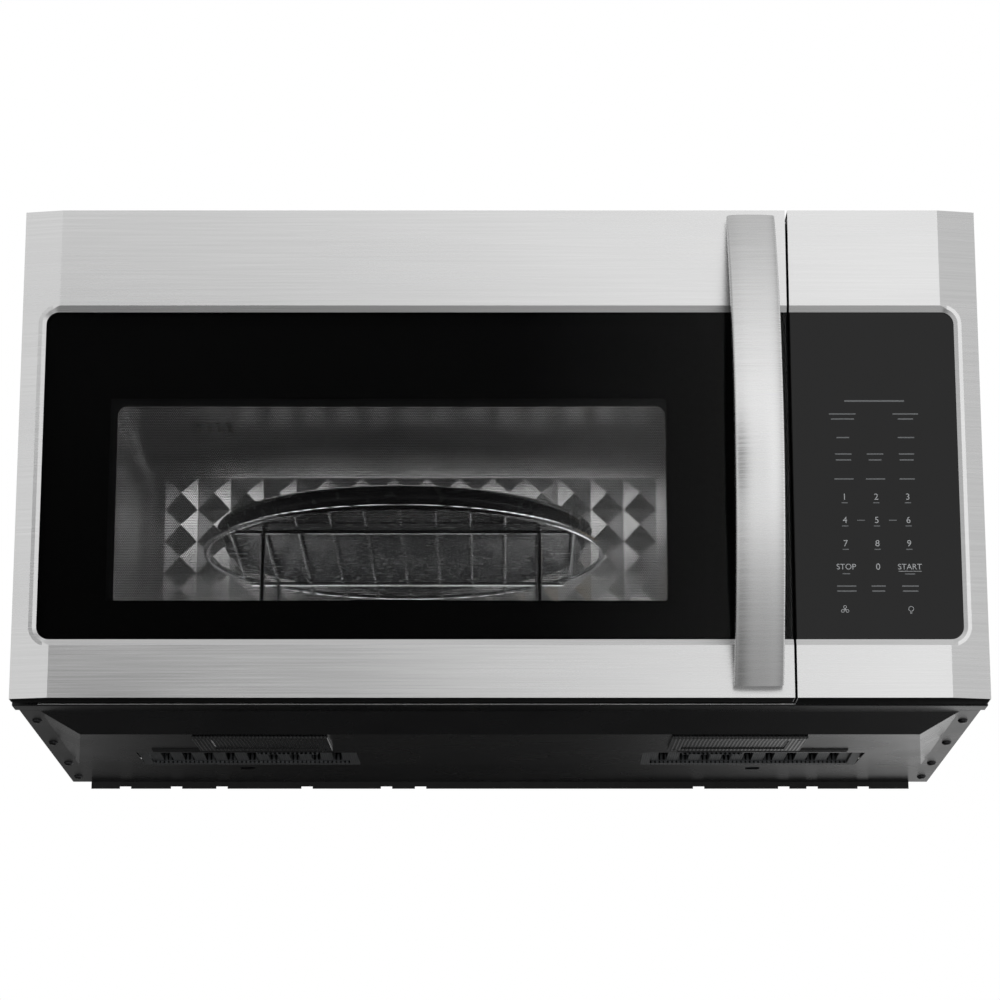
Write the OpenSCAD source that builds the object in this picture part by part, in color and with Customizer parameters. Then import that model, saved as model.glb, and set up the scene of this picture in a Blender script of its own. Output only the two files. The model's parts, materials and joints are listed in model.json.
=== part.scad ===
// Over-the-range microwave oven with convection, hung under a wall cabinet.
// Millimetres. Origin on the wall plane, in the middle of the width, at the case's bottom rim.
// +X is the viewer's right, +Y points to the wall, +Z is up. The front faces -Y.

/* [Overall size] */
// Width of the front frame, the widest part
overall_w = 759; // [750:1:765]
// Height of the door and control face
face_h = 395; // [393:1:399]
// Depth from the wall plane to the front of the face, without the handle
depth = 391; // [391:1:396]
// Height of the case top over the case's bottom rim
body_h = 405; // [404:1:410]
// How far the face starts above the bottom rim
face_lift = 1; // [0.8:0.1:1.2]

/* [Case sheet metal] */
// Thickness of the case sheets
case_t = 1.2; // [1:0.1:1.4]
// Width of the wrapped case
case_w = 752; // [750:1:753]
// Bend radius of the wrapped case at its top edges
case_r = 6; // [4:1:8]
// Depth of the wide front frame
frame_d = 18; // [16:1:20]
// How far the back panel reaches below the bottom rim
rear_drop = 6; // [4:1:8]
// Width of the air outlet in the top
duct_l = 254; // [250:1:256]
// Depth of the air outlet in the top
duct_d = 82; // [80:1:83]
// Distance between the two cabinet bolt holes
bolt_pitch = 550; // [540:1:560]
// Radius of the cabinet bolt holes
bolt_r = 3.5; // [3.3:0.1:4]
// Length of one wall plate hook slot
hook_slot_w = 40; // [36:1:44]

/* [Bottom pan] */
// How far the bottom pan bulges below the rim
pan_drop = 12; // [10:1:13]
// Length of the steep front slope of the pan
pan_front_run = 35; // [32:1:38]
// Width of the steep side slope of the pan
pan_side_run = 27; // [25:1:29]
// Width of the pan's flat side rim
pan_rim = 16; // [15:1:18]
// Width of one grease filter
filter_w = 200; // [190:1:204]
// Depth of one grease filter
filter_d = 98; // [90:1:100]
// Thickness of one grease filter
filter_t = 9; // [8:0.5:10]

/* [Door] */
// Width of the control column at the right
panel_w = 149.5; // [147:0.5:151]
// Gap between door and control column
side_gap = 2; // [1.8:0.1:2.4]
// Thickness of the closed door
door_t = 27; // [26.5:0.5:28]
// Gap between the closed door and the front frame
door_gap = 2; // [1.8:0.1:2.2]
// Thickness of the stainless skin
skin_t = 1; // [0.8:0.1:1.1]
// Width of the sloped ends of the face
end_slope_w = 30; // [28:1:31]
// Depth of the sloped ends of the face
end_slope_d = 5.5; // [5:0.1:5.6]
// Margin of stainless left and right of the glass
glass_side = 19.5; // [19:0.1:21]
// Height of the stainless band over the glass
glass_top = 84.3; // [82:0.1:86]
// Height of the stainless band under the glass
glass_low = 46.3; // [45:0.1:48]
// Corner radius of the glass inset
glass_r = 10; // [8:1:11]
// Width of the bevel round the glass
bevel_w = 5; // [4:0.5:5.5]
// Depth of the bevel round the glass
bevel_d = 2.5; // [2:0.1:2.7]
// Thickness of the outer glass
glass_t = 4; // [3.5:0.1:4]

/* [Handle] */
// Width of the bowed handle
handle_w = 38; // [34:1:40]
// Thickness of the bowed handle
handle_t = 12; // [11:0.5:12.5]
// Length of the bowed handle
handle_l = 381; // [376:1:382]
// How far the middle of the handle stands off the face
handle_out = 60; // [58:1:64]
// Rise of the bow from the ends to the middle
handle_bow = 50; // [48:1:52]
// Place of the handle's centre from the middle of the width
handle_x = 199; // [196:1:200]

/* [Oven cavity] */
// Inner width of the oven cavity
cavity_w = 490; // [484:1:492]
// Inner height of the oven cavity
cavity_h = 241; // [238:1:243]
// Place of the cavity's centre from the middle of the width
cavity_x = -80; // [-82:1:-79]
// Height of the cavity floor over the bottom rim
cavity_z = 62; // [61:0.5:63]
// Distance of the cavity's back wall from the wall plane
cavity_back = 15; // [14:0.5:15]
// Corner radius of the cavity
cavity_r = 20; // [16:1:22]
// Thickness of the cavity sheet
cavity_t = 1; // [0.8:0.1:1]
// Spacing of the embossed pyramids
pyramid_pitch = 29.3; // [28:0.1:29.4]
// Height of the embossed pyramids
pyramid_h = 4.5; // [3.5:0.1:4.5]

/* [Turntable and racks] */
// Radius of the glass turntable
plate_r = 170; // [165:1:170]
// Thickness of the glass turntable
plate_t = 5; // [4.5:0.1:5.5]
// Radius of one turntable roller
roller_r = 6.95; // [6.8:0.05:7]
// Outer radius of the wire rack
rack_r = 168; // [163:1:168]
// Radius of the rack's wire
wire_r = 2.5; // [2.2:0.1:2.6]
// Height of the rack over the turntable
rack_h = 82; // [78:1:84]
// Outer radius of the dark tray
tray_r = 157; // [152:1:158]
// Depth of the dark tray
tray_h = 18; // [16:1:19]

/* [Fits] */
// Clearance between pieces that move past each other
gap = 0.3; // [0.25:0.05:0.35]
// Running clearance on the radius of shafts and pins
run = 0.05; // [0.03:0.01:0.08]
// Radius of the turntable drive shaft
shaft_r = 3.5; // [3:0.1:3.8]
// Radius of the fan shafts
fan_shaft_r = 3; // [2.6:0.1:3.2]
// Radius of the door hinge pins
pin_r = 3; // [2.8:0.1:3.2]

/* [Hidden] */
$fn = 48;
eps = 0.02;
half_w = overall_w / 2;
face_half = half_w - 1;
face_y = -depth;
door_back = face_y + door_t;
front_y = door_back + door_gap;
case_y = front_y + frame_d;
case_x = case_w / 2;
in_x = case_x - case_t;
top_in = body_h - case_t;
face_z0 = face_lift;
face_z1 = face_lift + face_h;
frame_z1 = face_z1 - 1;
door_x0 = -face_half;
door_x1 = face_half - panel_w - side_gap;
panel_x0 = face_half - panel_w;
glass_x0 = door_x0 + glass_side;
glass_x1 = face_half - glass_side;
glass_z0 = face_z0 + glass_low;
glass_z1 = face_z1 - glass_top;
glass_y = face_y + skin_t + bevel_d;
glass_back = glass_y + glass_t;
cav_x0 = cavity_x - cavity_w / 2;
cav_x1 = cavity_x + cavity_w / 2;
cav_z0 = cavity_z;
cav_z1 = cavity_z + cavity_h;
cav_back = -cavity_back;
cav_front = front_y + case_t;
hub_y = cav_back - plate_r - 5;
bay_x0 = cav_x1 + cavity_t;
plate_z = cav_z0 + 2 * roller_r + 0.4;
plate_top = plate_z + plate_t;
rack_top = plate_top + rack_h;
pin_x = door_x0 + 9;
pin_y = door_back - door_t / 2;
chassis_z0 = face_z0 + 5.5;
chassis_z1 = face_z1 - 5.5;
chassis_x0 = door_x0 + skin_t + 0.3;
chassis_x1 = door_x1 - 0.6;
arm_t = 2.5;
upper_arm_z = chassis_z1 + 0.4;
lower_arm_z = chassis_z0 - 0.4 - arm_t;
win_x0 = cav_x0 + 14;
win_x1 = cav_x1 - 26;
win_z0 = face_z0 + 70;
win_z1 = face_z0 + 248;
latch_x = door_x1 - 25;
pan_y0 = case_y + 0.3;
pan_y1 = -case_t - 0.3;
slope_y0 = pan_y0 + 5;
slope_y1 = slope_y0 + pan_front_run;
slope_y2 = -91;
slope_x = case_x - pan_rim;
field_tan = pan_drop / (slope_y2 - slope_y1);
lamp_y0 = slope_y1 + 4;
lamp_y1 = lamp_y0 + 82;
filter_y1 = slope_y2 + 2;
filter_y0 = filter_y1 - filter_d;
filter_x = 211;
chassis_z = 55;
blower_y = -80;
blower_z = cav_z1 + 48;
conv_y = hub_y;
conv_z = cav_z0 + 125;
conv_deep = 24;
lead_drop = 90;
mag_y = -170;
mag_z = 235;
fan_z = 235;
fan_x = 300;
mid_z = (face_z0 + face_z1) / 2;
handle_radius = (handle_bow * handle_bow + handle_l * handle_l / 4) / (2 * handle_bow);
screw_head_r = 4.8;
handle_yc = face_y - handle_out + handle_radius;
latch_zs = [face_z0 + 130, face_z0 + 270];
screw_x = case_x - 8;
screw_ys = [-300, -200, -100, -30];
bolt_y = -290;
cord_x = 320;
cord_y = -45;
cord_r = 11;
lamp_x0 = 137;
lamp_x1 = 245;
conv_x1 = cav_x0 - cavity_t;
conv_x0 = conv_x1 - conv_deep;
mag_x0 = bay_x0 + 40;
mag_half = 42;
trap_wall = 10;
trap_a = [win_x0 - 26, win_z0 - 22];
trap_b = [win_x1 + 26, win_z1 + 22];
trap_out_a = [trap_a[0] - trap_wall, trap_a[1] - trap_wall];
trap_out_b = [trap_b[0] + trap_wall, trap_b[1] + trap_wall];
comb_pitch = 21;
comb_w = 4;
blow_x0 = 38;
blow_x1 = 118;

steel = [0.72, 0.73, 0.74];
zinc = [0.62, 0.64, 0.66];
black = [0.09, 0.09, 0.1];
dark = [0.2, 0.2, 0.22];
lamp_white = [0.9, 0.85, 0.7];
mica_brown = [0.75, 0.7, 0.6];
white_plastic = [0.85, 0.85, 0.82];
clear_glass = [0.7, 0.8, 0.8, 0.5];
black_glass = [0.05, 0.05, 0.06, 0.8];
copper_brown = [0.45, 0.3, 0.2];
board_green = [0.1, 0.35, 0.2];

// Plain helpers: boxes by two corners, prisms along each axis, rods and round-cornered outlines.
module span(a, b) {
  translate(a) cube([b[0] - a[0], b[1] - a[1], b[2] - a[2]]);
}

module x_prism(x0, x1) {
  translate([x0, 0, 0]) rotate([90, 0, 90]) linear_extrude(x1 - x0) children();
}

module y_prism(y0, y1) {
  translate([0, y1, 0]) rotate([90, 0, 0]) linear_extrude(y1 - y0) children();
}

module z_prism(z0, z1) {
  translate([0, 0, z0]) linear_extrude(z1 - z0) children();
}

module x_rod(x0, x1, y, z, r) {
  translate([x0, y, z]) rotate([0, 90, 0]) cylinder(h = x1 - x0, r = r);
}

module y_rod(y0, y1, x, z, r) {
  translate([x, y1, z]) rotate([90, 0, 0]) cylinder(h = y1 - y0, r = r);
}

module z_rod(z0, z1, x, y, r) {
  translate([x, y, z0]) cylinder(h = z1 - z0, r = r);
}

module rrect(x0, y0, x1, y1, r) {
  translate([x0 + r, y0]) square([x1 - x0 - 2 * r, y1 - y0]);
  translate([x0, y0 + r]) square([x1 - x0, y1 - y0 - 2 * r]);
  for (x = [x0 + r, x1 - r], y = [y0 + r, y1 - r]) translate([x, y]) circle(r);
}

module rect(x0, y0, x1, y1) {
  translate([x0, y0]) square([x1 - x0, y1 - y0]);
}

// Wrapped case: one sheet folded over the top and both sides, with turned-in bottom edges.
module case_outline(inset, low) {
  rrect(-case_x + inset, low, case_x - inset, body_h - inset, case_r - inset);
  rect(-case_x + inset, low, case_x - inset, low + 2 * case_r);
}

module outer_case() {
  low = case_t + gap;
  lip = 14;
  color(black) difference() {
    union() {
      y_prism(case_y - 8, -gap) difference() {
        case_outline(0, low);
        case_outline(case_t, low - 1);
      }
      for (s = [-1, 1]) y_prism(case_y + 1, -gap - case_t)
        rect(s > 0 ? case_x - lip : -case_x + case_t / 2, low,
             s > 0 ? case_x - case_t / 2 : -case_x + lip, low + case_t);
    }
    // The top starts behind the sloped air grille.
    span([-case_x - 1, case_y - 9, face_z1 - 9], [case_x + 1, case_y + 14, body_h + 1]);
    // Air outlet, cabinet bolt holes and the cord hole in the top.
    span([-duct_l / 2, -16 - duct_d, top_in - 1], [duct_l / 2, -16, body_h + 1]);
    for (s = [-1, 1]) z_rod(top_in - 1, body_h + 1, s * bolt_pitch / 2, bolt_y, bolt_r);
    z_rod(top_in - 1, body_h + 1, cord_x, cord_y, cord_r);
    // Cooling slots in the right side and the lower left side.
    for (i = [0 : 9], j = [0 : 2])
      span([in_x - 1, -300 + i * 22, 240 + j * 34], [case_x + 1, -288 + i * 22, 264 + j * 34]);
    for (i = [0 : 7])
      span([-case_x - 1, -260 + i * 20, 20], [-in_x + 1, -250 + i * 20, 46]);
    // Screw holes in the turned-in edges.
    for (s = [-1, 1], y = screw_ys) z_rod(low - 1, low + case_t + 1, s * screw_x, y, 1.6);
  }
}

module back_panel() {
  low = case_t + gap;
  color(zinc) difference() {
    union() {
      y_prism(-case_t, 0) rrect(-in_x + 0.2, low, in_x - 0.2, top_in - 0.2, case_r);
      span([-slope_x, -case_t, -rear_drop], [slope_x, 0, low + 1]);
      span([-in_x + case_r, -14, top_in - 0.2 - case_t], [in_x - case_r, -eps, top_in - 0.2]);
      for (s = [-1, 1]) span([s > 0 ? in_x - 0.2 - case_t : -in_x + 0.2, -14, low + 20],
                             [s > 0 ? in_x - 0.2 : -in_x + 0.2 + case_t, -eps, top_in - case_r]);
    }
    // Hook slots, small notches along the low edge and vents behind the cooling fan.
    for (x = [-330, -285, -245, -170, -100, -70, 175, 250, 275, 320])
      span([x - 5, -case_t - 1, -rear_drop - 1], [x + 5, 1, -rear_drop + 2]);
    for (x = [-300, -100, 100, 300])
      y_prism(-case_t - 1, 1) rrect(x - hook_slot_w / 2, 12, x + hook_slot_w / 2, 22, 4);
    for (i = [0 : 5], j = [0 : 1])
      y_prism(-case_t - 1, 1) rrect(240 + i * 18, 180 + j * 60, 248 + i * 18, 225 + j * 60, 3);
    span([-in_x - 1, -20, body_h - 4], [-duct_l / 2 - 60, -case_t - 1, body_h]);
    span([-duct_l / 2 - 61, -20, body_h - 4], [duct_l / 2 + 61, -case_t - 1, body_h]);
  }
}

// The pan's bulge is the part common to a long wedge and a wide trapezoid, so every face is flat.
module pan_bulge(up) {
  intersection() {
    x_prism(-case_x, case_x) polygon([[slope_y0 - 1, up + 1], [slope_y0, up], [slope_y1, up - pan_drop],
      [slope_y2, up], [slope_y2 + 1 / field_tan, up + 1]]);
    y_prism(pan_y0, pan_y1) polygon([
      [-slope_x - pan_side_run / pan_drop, up + 1], [-slope_x + pan_side_run, up - pan_drop],
      [slope_x - pan_side_run, up - pan_drop], [slope_x + pan_side_run / pan_drop, up + 1]]);
  }
}

module both_sides() {
  children();
  mirror([1, 0, 0]) children();
}

module base_pan() {
  color(black) difference() {
    union() {
      span([-case_x, pan_y0, 0], [case_x, pan_y1, case_t]);
      pan_bulge(0);
      // Ribs in front of the filters.
      for (y = [filter_y0 - 9, filter_y0 - 19]) both_sides()
        x_rod(filter_x - 65, filter_x + 75, y, -(slope_y2 - y) * field_tan + 0.6, 2);
    }
    pan_bulge(case_t);
    span([-slope_x, slope_y0 + 1, case_t], [slope_x, slope_y2, case_t + 2]);
    both_sides() {
      // Lamp window, grease filter window, rear slot, dimple and rim screw holes.
      span([150, lamp_y0 + 16, -pan_drop - 1], [228, lamp_y1 - 16, 2]);
      span([filter_x - filter_w / 2 + 8, filter_y0 + 8, -pan_drop - 1],
           [filter_x + filter_w / 2 - 8, filter_y1 - 8, 3]);
      z_prism(-2, 3) rrect(211, -79, 223, -67, 3);
      z_rod(-pan_drop - 1, -pan_drop + 0.6, 288, lamp_y0 + 12, 7);
      for (y = screw_ys) z_rod(-1, 3, screw_x, y, 2);
    }
  }
}

module pan_screws() {
  color(steel) both_sides() for (y = screw_ys) {
    z_rod(-2.2, 0, screw_x, y, 4);
    z_rod(-1, 7, screw_x, y, 1.5);
  }
}

// Lamp cover: a shallow tray on the sloped pan, with a sunk lens and a screw at two corners.
// pan_face gives the height of the pan's outside at a depth, which falls towards the front.
function pan_face(y) = -(slope_y2 - y) * field_tan;

module on_pan(y0, y1, low, high) {
  polygon([[y0, pan_face(y0) - low], [y1, pan_face(y1) - low],
    [y1, pan_face(y1) - high], [y0, pan_face(y0) - high]]);
}

module lamp_cover_right() {
  cover_t = 3;
  lens_t = 2;
  color(dark) difference() {
    x_prism(lamp_x0, lamp_x1) on_pan(lamp_y0, lamp_y1, cover_t, eps);
    x_prism(lamp_x0 + 10, lamp_x1 - 14) on_pan(lamp_y0 + 13, lamp_y1 - 12, cover_t + 1, lens_t);
    z_rod(-pan_drop - 4, 2, lamp_x0 + 5, lamp_y1 - 8, 1.8);
    z_rod(-pan_drop - 4, 2, lamp_x1 - 6, lamp_y0 + 10, 1.8);
  }
}

module lamp_cover_left() {
  color(dark) mirror([1, 0, 0]) lamp_cover_right();
}

function pan_inside(y) = case_t + pan_face(y);

module surface_lamps() {
  y0 = lamp_y0 + 8;
  y1 = y0 + 2;
  bracket_z = 30;
  color(lamp_white) both_sides() {
    // A bent bracket on the pan carries the socket and its bulb.
    x_prism(160, 220)
      polygon([[y0, pan_inside(y0)], [y1, pan_inside(y1)], [y1, bracket_z], [y0, bracket_z]]);
    span([160, y0, bracket_z - 2], [220, y0 + 48, bracket_z]);
    z_rod(8, bracket_z - 2, 190, lamp_y0 + 44, 11);
    translate([190, lamp_y0 + 44, 6]) sphere(9);
  }
}

// Grease filter: folded frame round a thin mesh pad, with a turned-down pull tab.
module grease_filter_right() {
  x0 = filter_x - filter_w / 2 + 8 + gap;
  x1 = filter_x + filter_w / 2 - 8 - gap;
  y0 = filter_y0 + 8 + gap;
  y1 = filter_y1 - 8 - gap;
  color(zinc) {
    difference() {
      span([x0, y0, -1], [x1, y1, -1 + filter_t]);
      span([x0 + 8, y0 + 8, -2], [x1 - 8, y1 - 8, 1]);
      span([x0 + 8, y0 + 8, -3 + filter_t], [x1 - 8, y1 - 8, filter_t + 1]);
      for (i = [0 : 8]) span([x0 + 14 + i * 18, y0 + 12, -2], [x0 + 22 + i * 18, y1 - 12, filter_t]);
    }
    span([filter_x - 60, y0 + 1, -6], [filter_x - 10, y0 + 2.2, 0]);
  }
}

module grease_filter_left() {
  color(zinc) mirror([1, 0, 0]) grease_filter_right();
}

// Front frame: a shallow tray round the cavity mouth, with latch and hinge slots.
module front_frame() {
  color(black) difference() {
    y_prism(front_y, case_y) rect(-half_w, 0, half_w, frame_z1);
    span([-half_w + case_t, front_y + case_t, case_t],
         [half_w - case_t, case_y - case_t, frame_z1 - case_t]);
    span([-case_x - gap, case_y - 5, case_t], [case_x + gap, case_y + 1, frame_z1 + 1]);
    // Cavity mouth and control compartment.
    y_prism(front_y - 1, cav_front + 1) rrect(cav_x0, cav_z0, cav_x1, cav_z1, cavity_r);
    y_prism(front_y - 1, cav_front + 1) rect(panel_x0 + 14, 30, face_half - 14, face_z1 - 30);
    // Latch slots and hinge slots.
    for (z = latch_zs)
      span([latch_x - 8, front_y - 1, z - 25], [latch_x + 8, cav_front + 1, z + 25]);
    for (z = [lower_arm_z - gap, upper_arm_z - gap])
      span([pin_x - 5, front_y - 1, z], [pin_x + 5, cav_front + 1, z + arm_t + 2 * gap]);
  }
}

module vent_grille() {
  y0 = front_y + 0.6;
  y1 = case_y + 13.6;
  slot_pitch = 12.1;
  row_pitch = 13.5;
  color(black) difference() {
    union() {
      x_prism(-case_x, case_x) polygon([[y0, frame_z1], [y0 + 4, frame_z1], [y1 + 4, body_h - 2.2],
        [y1 + 4, body_h], [y1, body_h]]);
      for (x = [-case_x, -2, case_x - 2])
        x_prism(x, x + 2) polygon([[y0, frame_z1], [y1, frame_z1], [y1, body_h]]);
    }
    span([-case_x - 1, y1, frame_z1 - 1], [case_x + 1, y1 + 6, body_h + 1]);
    for (i = [0 : 29], j = [0 : 1]) both_sides()
      span([8 + i * slot_pitch, y0 + 4 + j * row_pitch, frame_z1 + 0.5],
           [16 + i * slot_pitch, y0 + 13 + j * row_pitch, body_h + 1]);
  }
}

module charcoal_filter() {
  color(dark) difference() {
    span([-180, -325, top_in - 17], [180, -215, top_in]);
    for (i = [0 : 11], j = [0 : 3])
      span([-172 + i * 29, -318 + j * 26, top_in - 18], [-148 + i * 29, -296 + j * 26, top_in + 1]);
  }
}

// Oven cavity: a folded box with round corners, flanges at both ends, side ribs and air holes.
module cavity_outline(grow) {
  rrect(cav_x0 - grow, cav_z0 - grow, cav_x1 + grow, cav_z1 + grow, cavity_r + grow);
}

module flange_outline() {
  rrect(cav_x0 - 12, cav_z0 - 6, cav_x1 + 12, cav_z1 + 12, cavity_r + 6);
}

module cavity() {
  color(steel) difference() {
    union() {
      y_prism(cav_front, cav_back) difference() {
        cavity_outline(cavity_t);
        cavity_outline(0);
      }
      for (y = [cav_front, cav_back - cavity_t]) y_prism(y, y + cavity_t) difference() {
        flange_outline();
        cavity_outline(0);
      }
      // Pressed ribs on the inner side walls.
      intersection() {
        for (z = [cav_z0 + 24, cav_z0 + 217], x = [cav_x0 - 1, cav_x1 + 1])
          y_rod(cav_front + 40, cav_back - 30, x, z, 4);
        span([cav_x0 - eps, cav_front, cav_z0], [cav_x1 + eps, cav_back, cav_z1]);
      }
    }
    // Air holes to the convection housing in the left wall.
    for (k = [0 : 3], i = [0 : max(1, 6 * k) - 1])
      air_hole(k * 13, i * 360 / max(1, 6 * k), 3.2);
    for (i = [0 : 11]) air_hole(74, i * 30, 4);
    // Lamp holes in the ceiling, drive hole in the floor, wave inlet in the right wall.
    for (i = [0 : 3], j = [0 : 3]) z_rod(cav_z1 - 1, cav_z1 + 2, cav_x0 + 60 + i * 9, -90 + j * 9, 2.5);
    z_rod(cav_z0 - 2, cav_z0 + 1, cavity_x, hub_y, shaft_r + 1.5);
    span([cav_x1 - 1, mag_y - 40, mag_z - 60], [cav_x1 + 2, mag_y + 40, mag_z - 20]);
  }
}

module air_hole(ring, angle, r) {
  translate([cav_x0 - 2, conv_y + ring * cos(angle), conv_z + ring * sin(angle)])
    rotate([0, 90, 0]) cylinder(h = 4, r = r);
}

// Back wall: sheet with a raised frame bead and a field of pyramids, which is what two
// crossed ridge patterns have in common.
module pyramid_field(columns, rows, x0, z0) {
  back = cav_back;
  intersection() {
    for (i = [0 : columns - 1])
      z_prism(z0, z0 + rows * pyramid_pitch) polygon([[x0 + i * pyramid_pitch, back],
        [x0 + (i + 0.5) * pyramid_pitch, back - pyramid_h], [x0 + (i + 1) * pyramid_pitch, back]]);
    for (j = [0 : rows - 1])
      x_prism(x0, x0 + columns * pyramid_pitch) polygon([[back, z0 + j * pyramid_pitch],
        [back - pyramid_h, z0 + (j + 0.5) * pyramid_pitch], [back, z0 + (j + 1) * pyramid_pitch]]);
  }
}

module cavity_back_wall() {
  columns = 15;
  rows = 6;
  field_w = columns * pyramid_pitch;
  field_x = cavity_x - field_w / 2;
  field_z = cav_z1 - 30 - rows * pyramid_pitch;
  color(steel) {
    y_prism(cav_back, cav_back + cavity_t) flange_outline();
    pyramid_field(columns, rows, field_x, field_z);
    y_prism(cav_back - 2, cav_back + eps) difference() {
      rrect(field_x - 17, field_z - 14, field_x + field_w + 17, cav_z1 - 14, 14);
      rrect(field_x - 12, field_z - 9, field_x + field_w + 12, cav_z1 - 19, 9);
    }
  }
}

module waveguide_cover() {
  color(mica_brown) span([cav_x1 - 1.2, mag_y - 46, mag_z - 66], [cav_x1, mag_y + 46, mag_z - 14]);
}

module cavity_lamp() {
  x = cav_x0 + 73;
  y = -80;
  z = cav_z1 + cavity_t;
  bulb_z = z + 15;
  color(lamp_white) {
    difference() {
      span([x - 28, y - 30, z], [x + 28, y + 30, z + 30]);
      span([x - 26, y - 28, z - 1], [x + 26, y + 28, z + 28]);
      x_rod(x + 20, x + 30, y, bulb_z, 9);
    }
    x_rod(x, x + 40, y, bulb_z, 9);
    x_rod(x - 16, x, y, bulb_z, 10);
  }
}

module convection_housing() {
  color(zinc) difference() {
    union() {
      x_prism(conv_x0, conv_x1) rrect(conv_y - 112, conv_z - 100, conv_y + 112, conv_z + 100, 30);
      x_prism(conv_x1 - 1, conv_x1) rrect(conv_y - 120, conv_z - 108, conv_y + 120, conv_z + 108, 34);
    }
    x_prism(conv_x0 + 1, conv_x1 + 1) rrect(conv_y - 111, conv_z - 99, conv_y + 111, conv_z + 99, 29);
    x_rod(conv_x0 - 1, conv_x0 + 2, conv_y, conv_z, fan_shaft_r + 2);
    for (s = [-1, 1]) x_rod(conv_x0 - 1, conv_x0 + 2, conv_y + s * 15, conv_z - lead_drop, 3.4);
  }
}

module heater_ring() {
  color(dark) {
    translate([conv_x0 + 12, conv_y, conv_z]) rotate([0, 90, 0])
      rotate_extrude() translate([88, 0]) circle(3.2);
    for (s = [-1, 1]) x_rod(conv_x0 - 8, conv_x0 + 12, conv_y + s * 15, conv_z - lead_drop, 3);
  }
}

module convection_fan() {
  color(steel) {
    difference() {
      union() {
        x_rod(conv_x0 + 5, conv_x0 + 6, conv_y, conv_z, 66);
        x_rod(conv_x0 + 5, conv_x0 + 16, conv_y, conv_z, 8);
        for (i = [0 : 11]) translate([conv_x0 + 5.5, conv_y, conv_z]) rotate([i * 30, 0, 0])
          translate([0, -0.6, 22]) cube([11, 1.2, 43]);
      }
      for (i = [0 : 5]) translate([conv_x0 + 4, conv_y, conv_z]) rotate([i * 60 + 15, 0, 0])
        translate([0, 0, 15]) rotate([0, 90, 0]) cylinder(h = 3, r = 2.4);
    }
    x_rod(conv_x0 - 14, conv_x0 + 6, conv_y, conv_z, fan_shaft_r);
  }
}

module convection_motor() {
  color(zinc) difference() {
    union() {
      x_rod(conv_x0 - 21, conv_x0 - 5, conv_y, conv_z, 36);
      x_prism(conv_x0 - 5, conv_x0 - 3.5) rrect(conv_y - 50, conv_z - 18, conv_y + 50, conv_z + 18, 8);
      for (s = [-1, 1]) x_rod(conv_x0 - 3.5 - eps, conv_x0, conv_y + s * 42, conv_z, 5);
    }
    x_rod(conv_x0 - 15, conv_x0, conv_y, conv_z, fan_shaft_r + run);
    for (i = [0 : 7]) translate([conv_x0 - 30, conv_y, conv_z]) rotate([i * 45, 0, 0])
      translate([0, -2, 22]) cube([16, 4, 10]);
  }
}

module turntable_motor() {
  z1 = cav_z0 - cavity_t;
  color(zinc) difference() {
    union() {
      z_rod(z1 - 20, z1, cavity_x, hub_y, 25);
      z_prism(z1 - 1.5, z1) rrect(cavity_x - 34, hub_y - 9, cavity_x + 34, hub_y + 9, 6);
      span([cavity_x - 12, hub_y + 20, z1 - 18], [cavity_x + 12, hub_y + 34, z1 - 6]);
    }
    z_rod(z1 - 17, z1 + 1, cavity_x, hub_y, shaft_r + run);
  }
}

module turntable_coupler() {
  z1 = cav_z0 - cavity_t;
  color(white_plastic) {
    z_rod(z1 - 16, cav_z0 + 4, cavity_x, hub_y, shaft_r);
    z_rod(cav_z0 + 1, plate_z - 1.6, cavity_x, hub_y, 9);
    for (i = [0 : 2]) translate([cavity_x, hub_y, cav_z0 + 2]) rotate([0, 0, i * 120 + 30])
      translate([0, -4, 0]) cube([20, 8, plate_z - cav_z0 - 3.6]);
  }
}

module glass_turntable() {
  color(clear_glass) translate([cavity_x, hub_y, 0]) {
    rotate_extrude() polygon([[0, plate_z], [plate_r - 12, plate_z], [plate_r, plate_z + 6],
      [plate_r, plate_z + 9], [plate_r - 4, plate_z + 9], [plate_r - 14, plate_top], [0, plate_top]]);
    // Three stops that take up the coupler's arms.
    for (i = [0 : 2]) rotate([0, 0, i * 120 + 66]) translate([13, -3, plate_z - 6]) cube([8, 6, 6 + eps]);
  }
}

module roller_at(angle) {
  translate([cavity_x, hub_y, cav_z0 + roller_r + 0.1]) rotate([0, 0, angle]) children();
}

module roller_ring() {
  mid = cav_z0 + roller_r + 0.1;
  color(dark) {
    difference() {
      z_rod(mid - 2.2, mid + 2.2, cavity_x, hub_y, 104);
      z_rod(mid - 4, mid + 4, cavity_x, hub_y, 92);
    }
    for (a = [90, 210, 330]) roller_at(a) {
      rotate([0, 90, 0]) translate([0, 0, 100]) cylinder(h = 20.5, r = 2);
      rotate([0, 90, 0]) translate([0, 0, 119]) cylinder(h = 1.5, r = 3.4);
    }
  }
}

module roller(a) {
  roller_at(a) rotate([0, 90, 0]) difference() {
    translate([0, 0, 108.5]) cylinder(h = 7, r = roller_r);
    translate([0, 0, 105]) cylinder(h = 14, r = 2 + run);
  }
}

module roller_a() {
  color(dark) roller(90);
}

module roller_b() {
  color(dark) roller(210);
}

module roller_c() {
  color(dark) roller(330);
}

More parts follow.
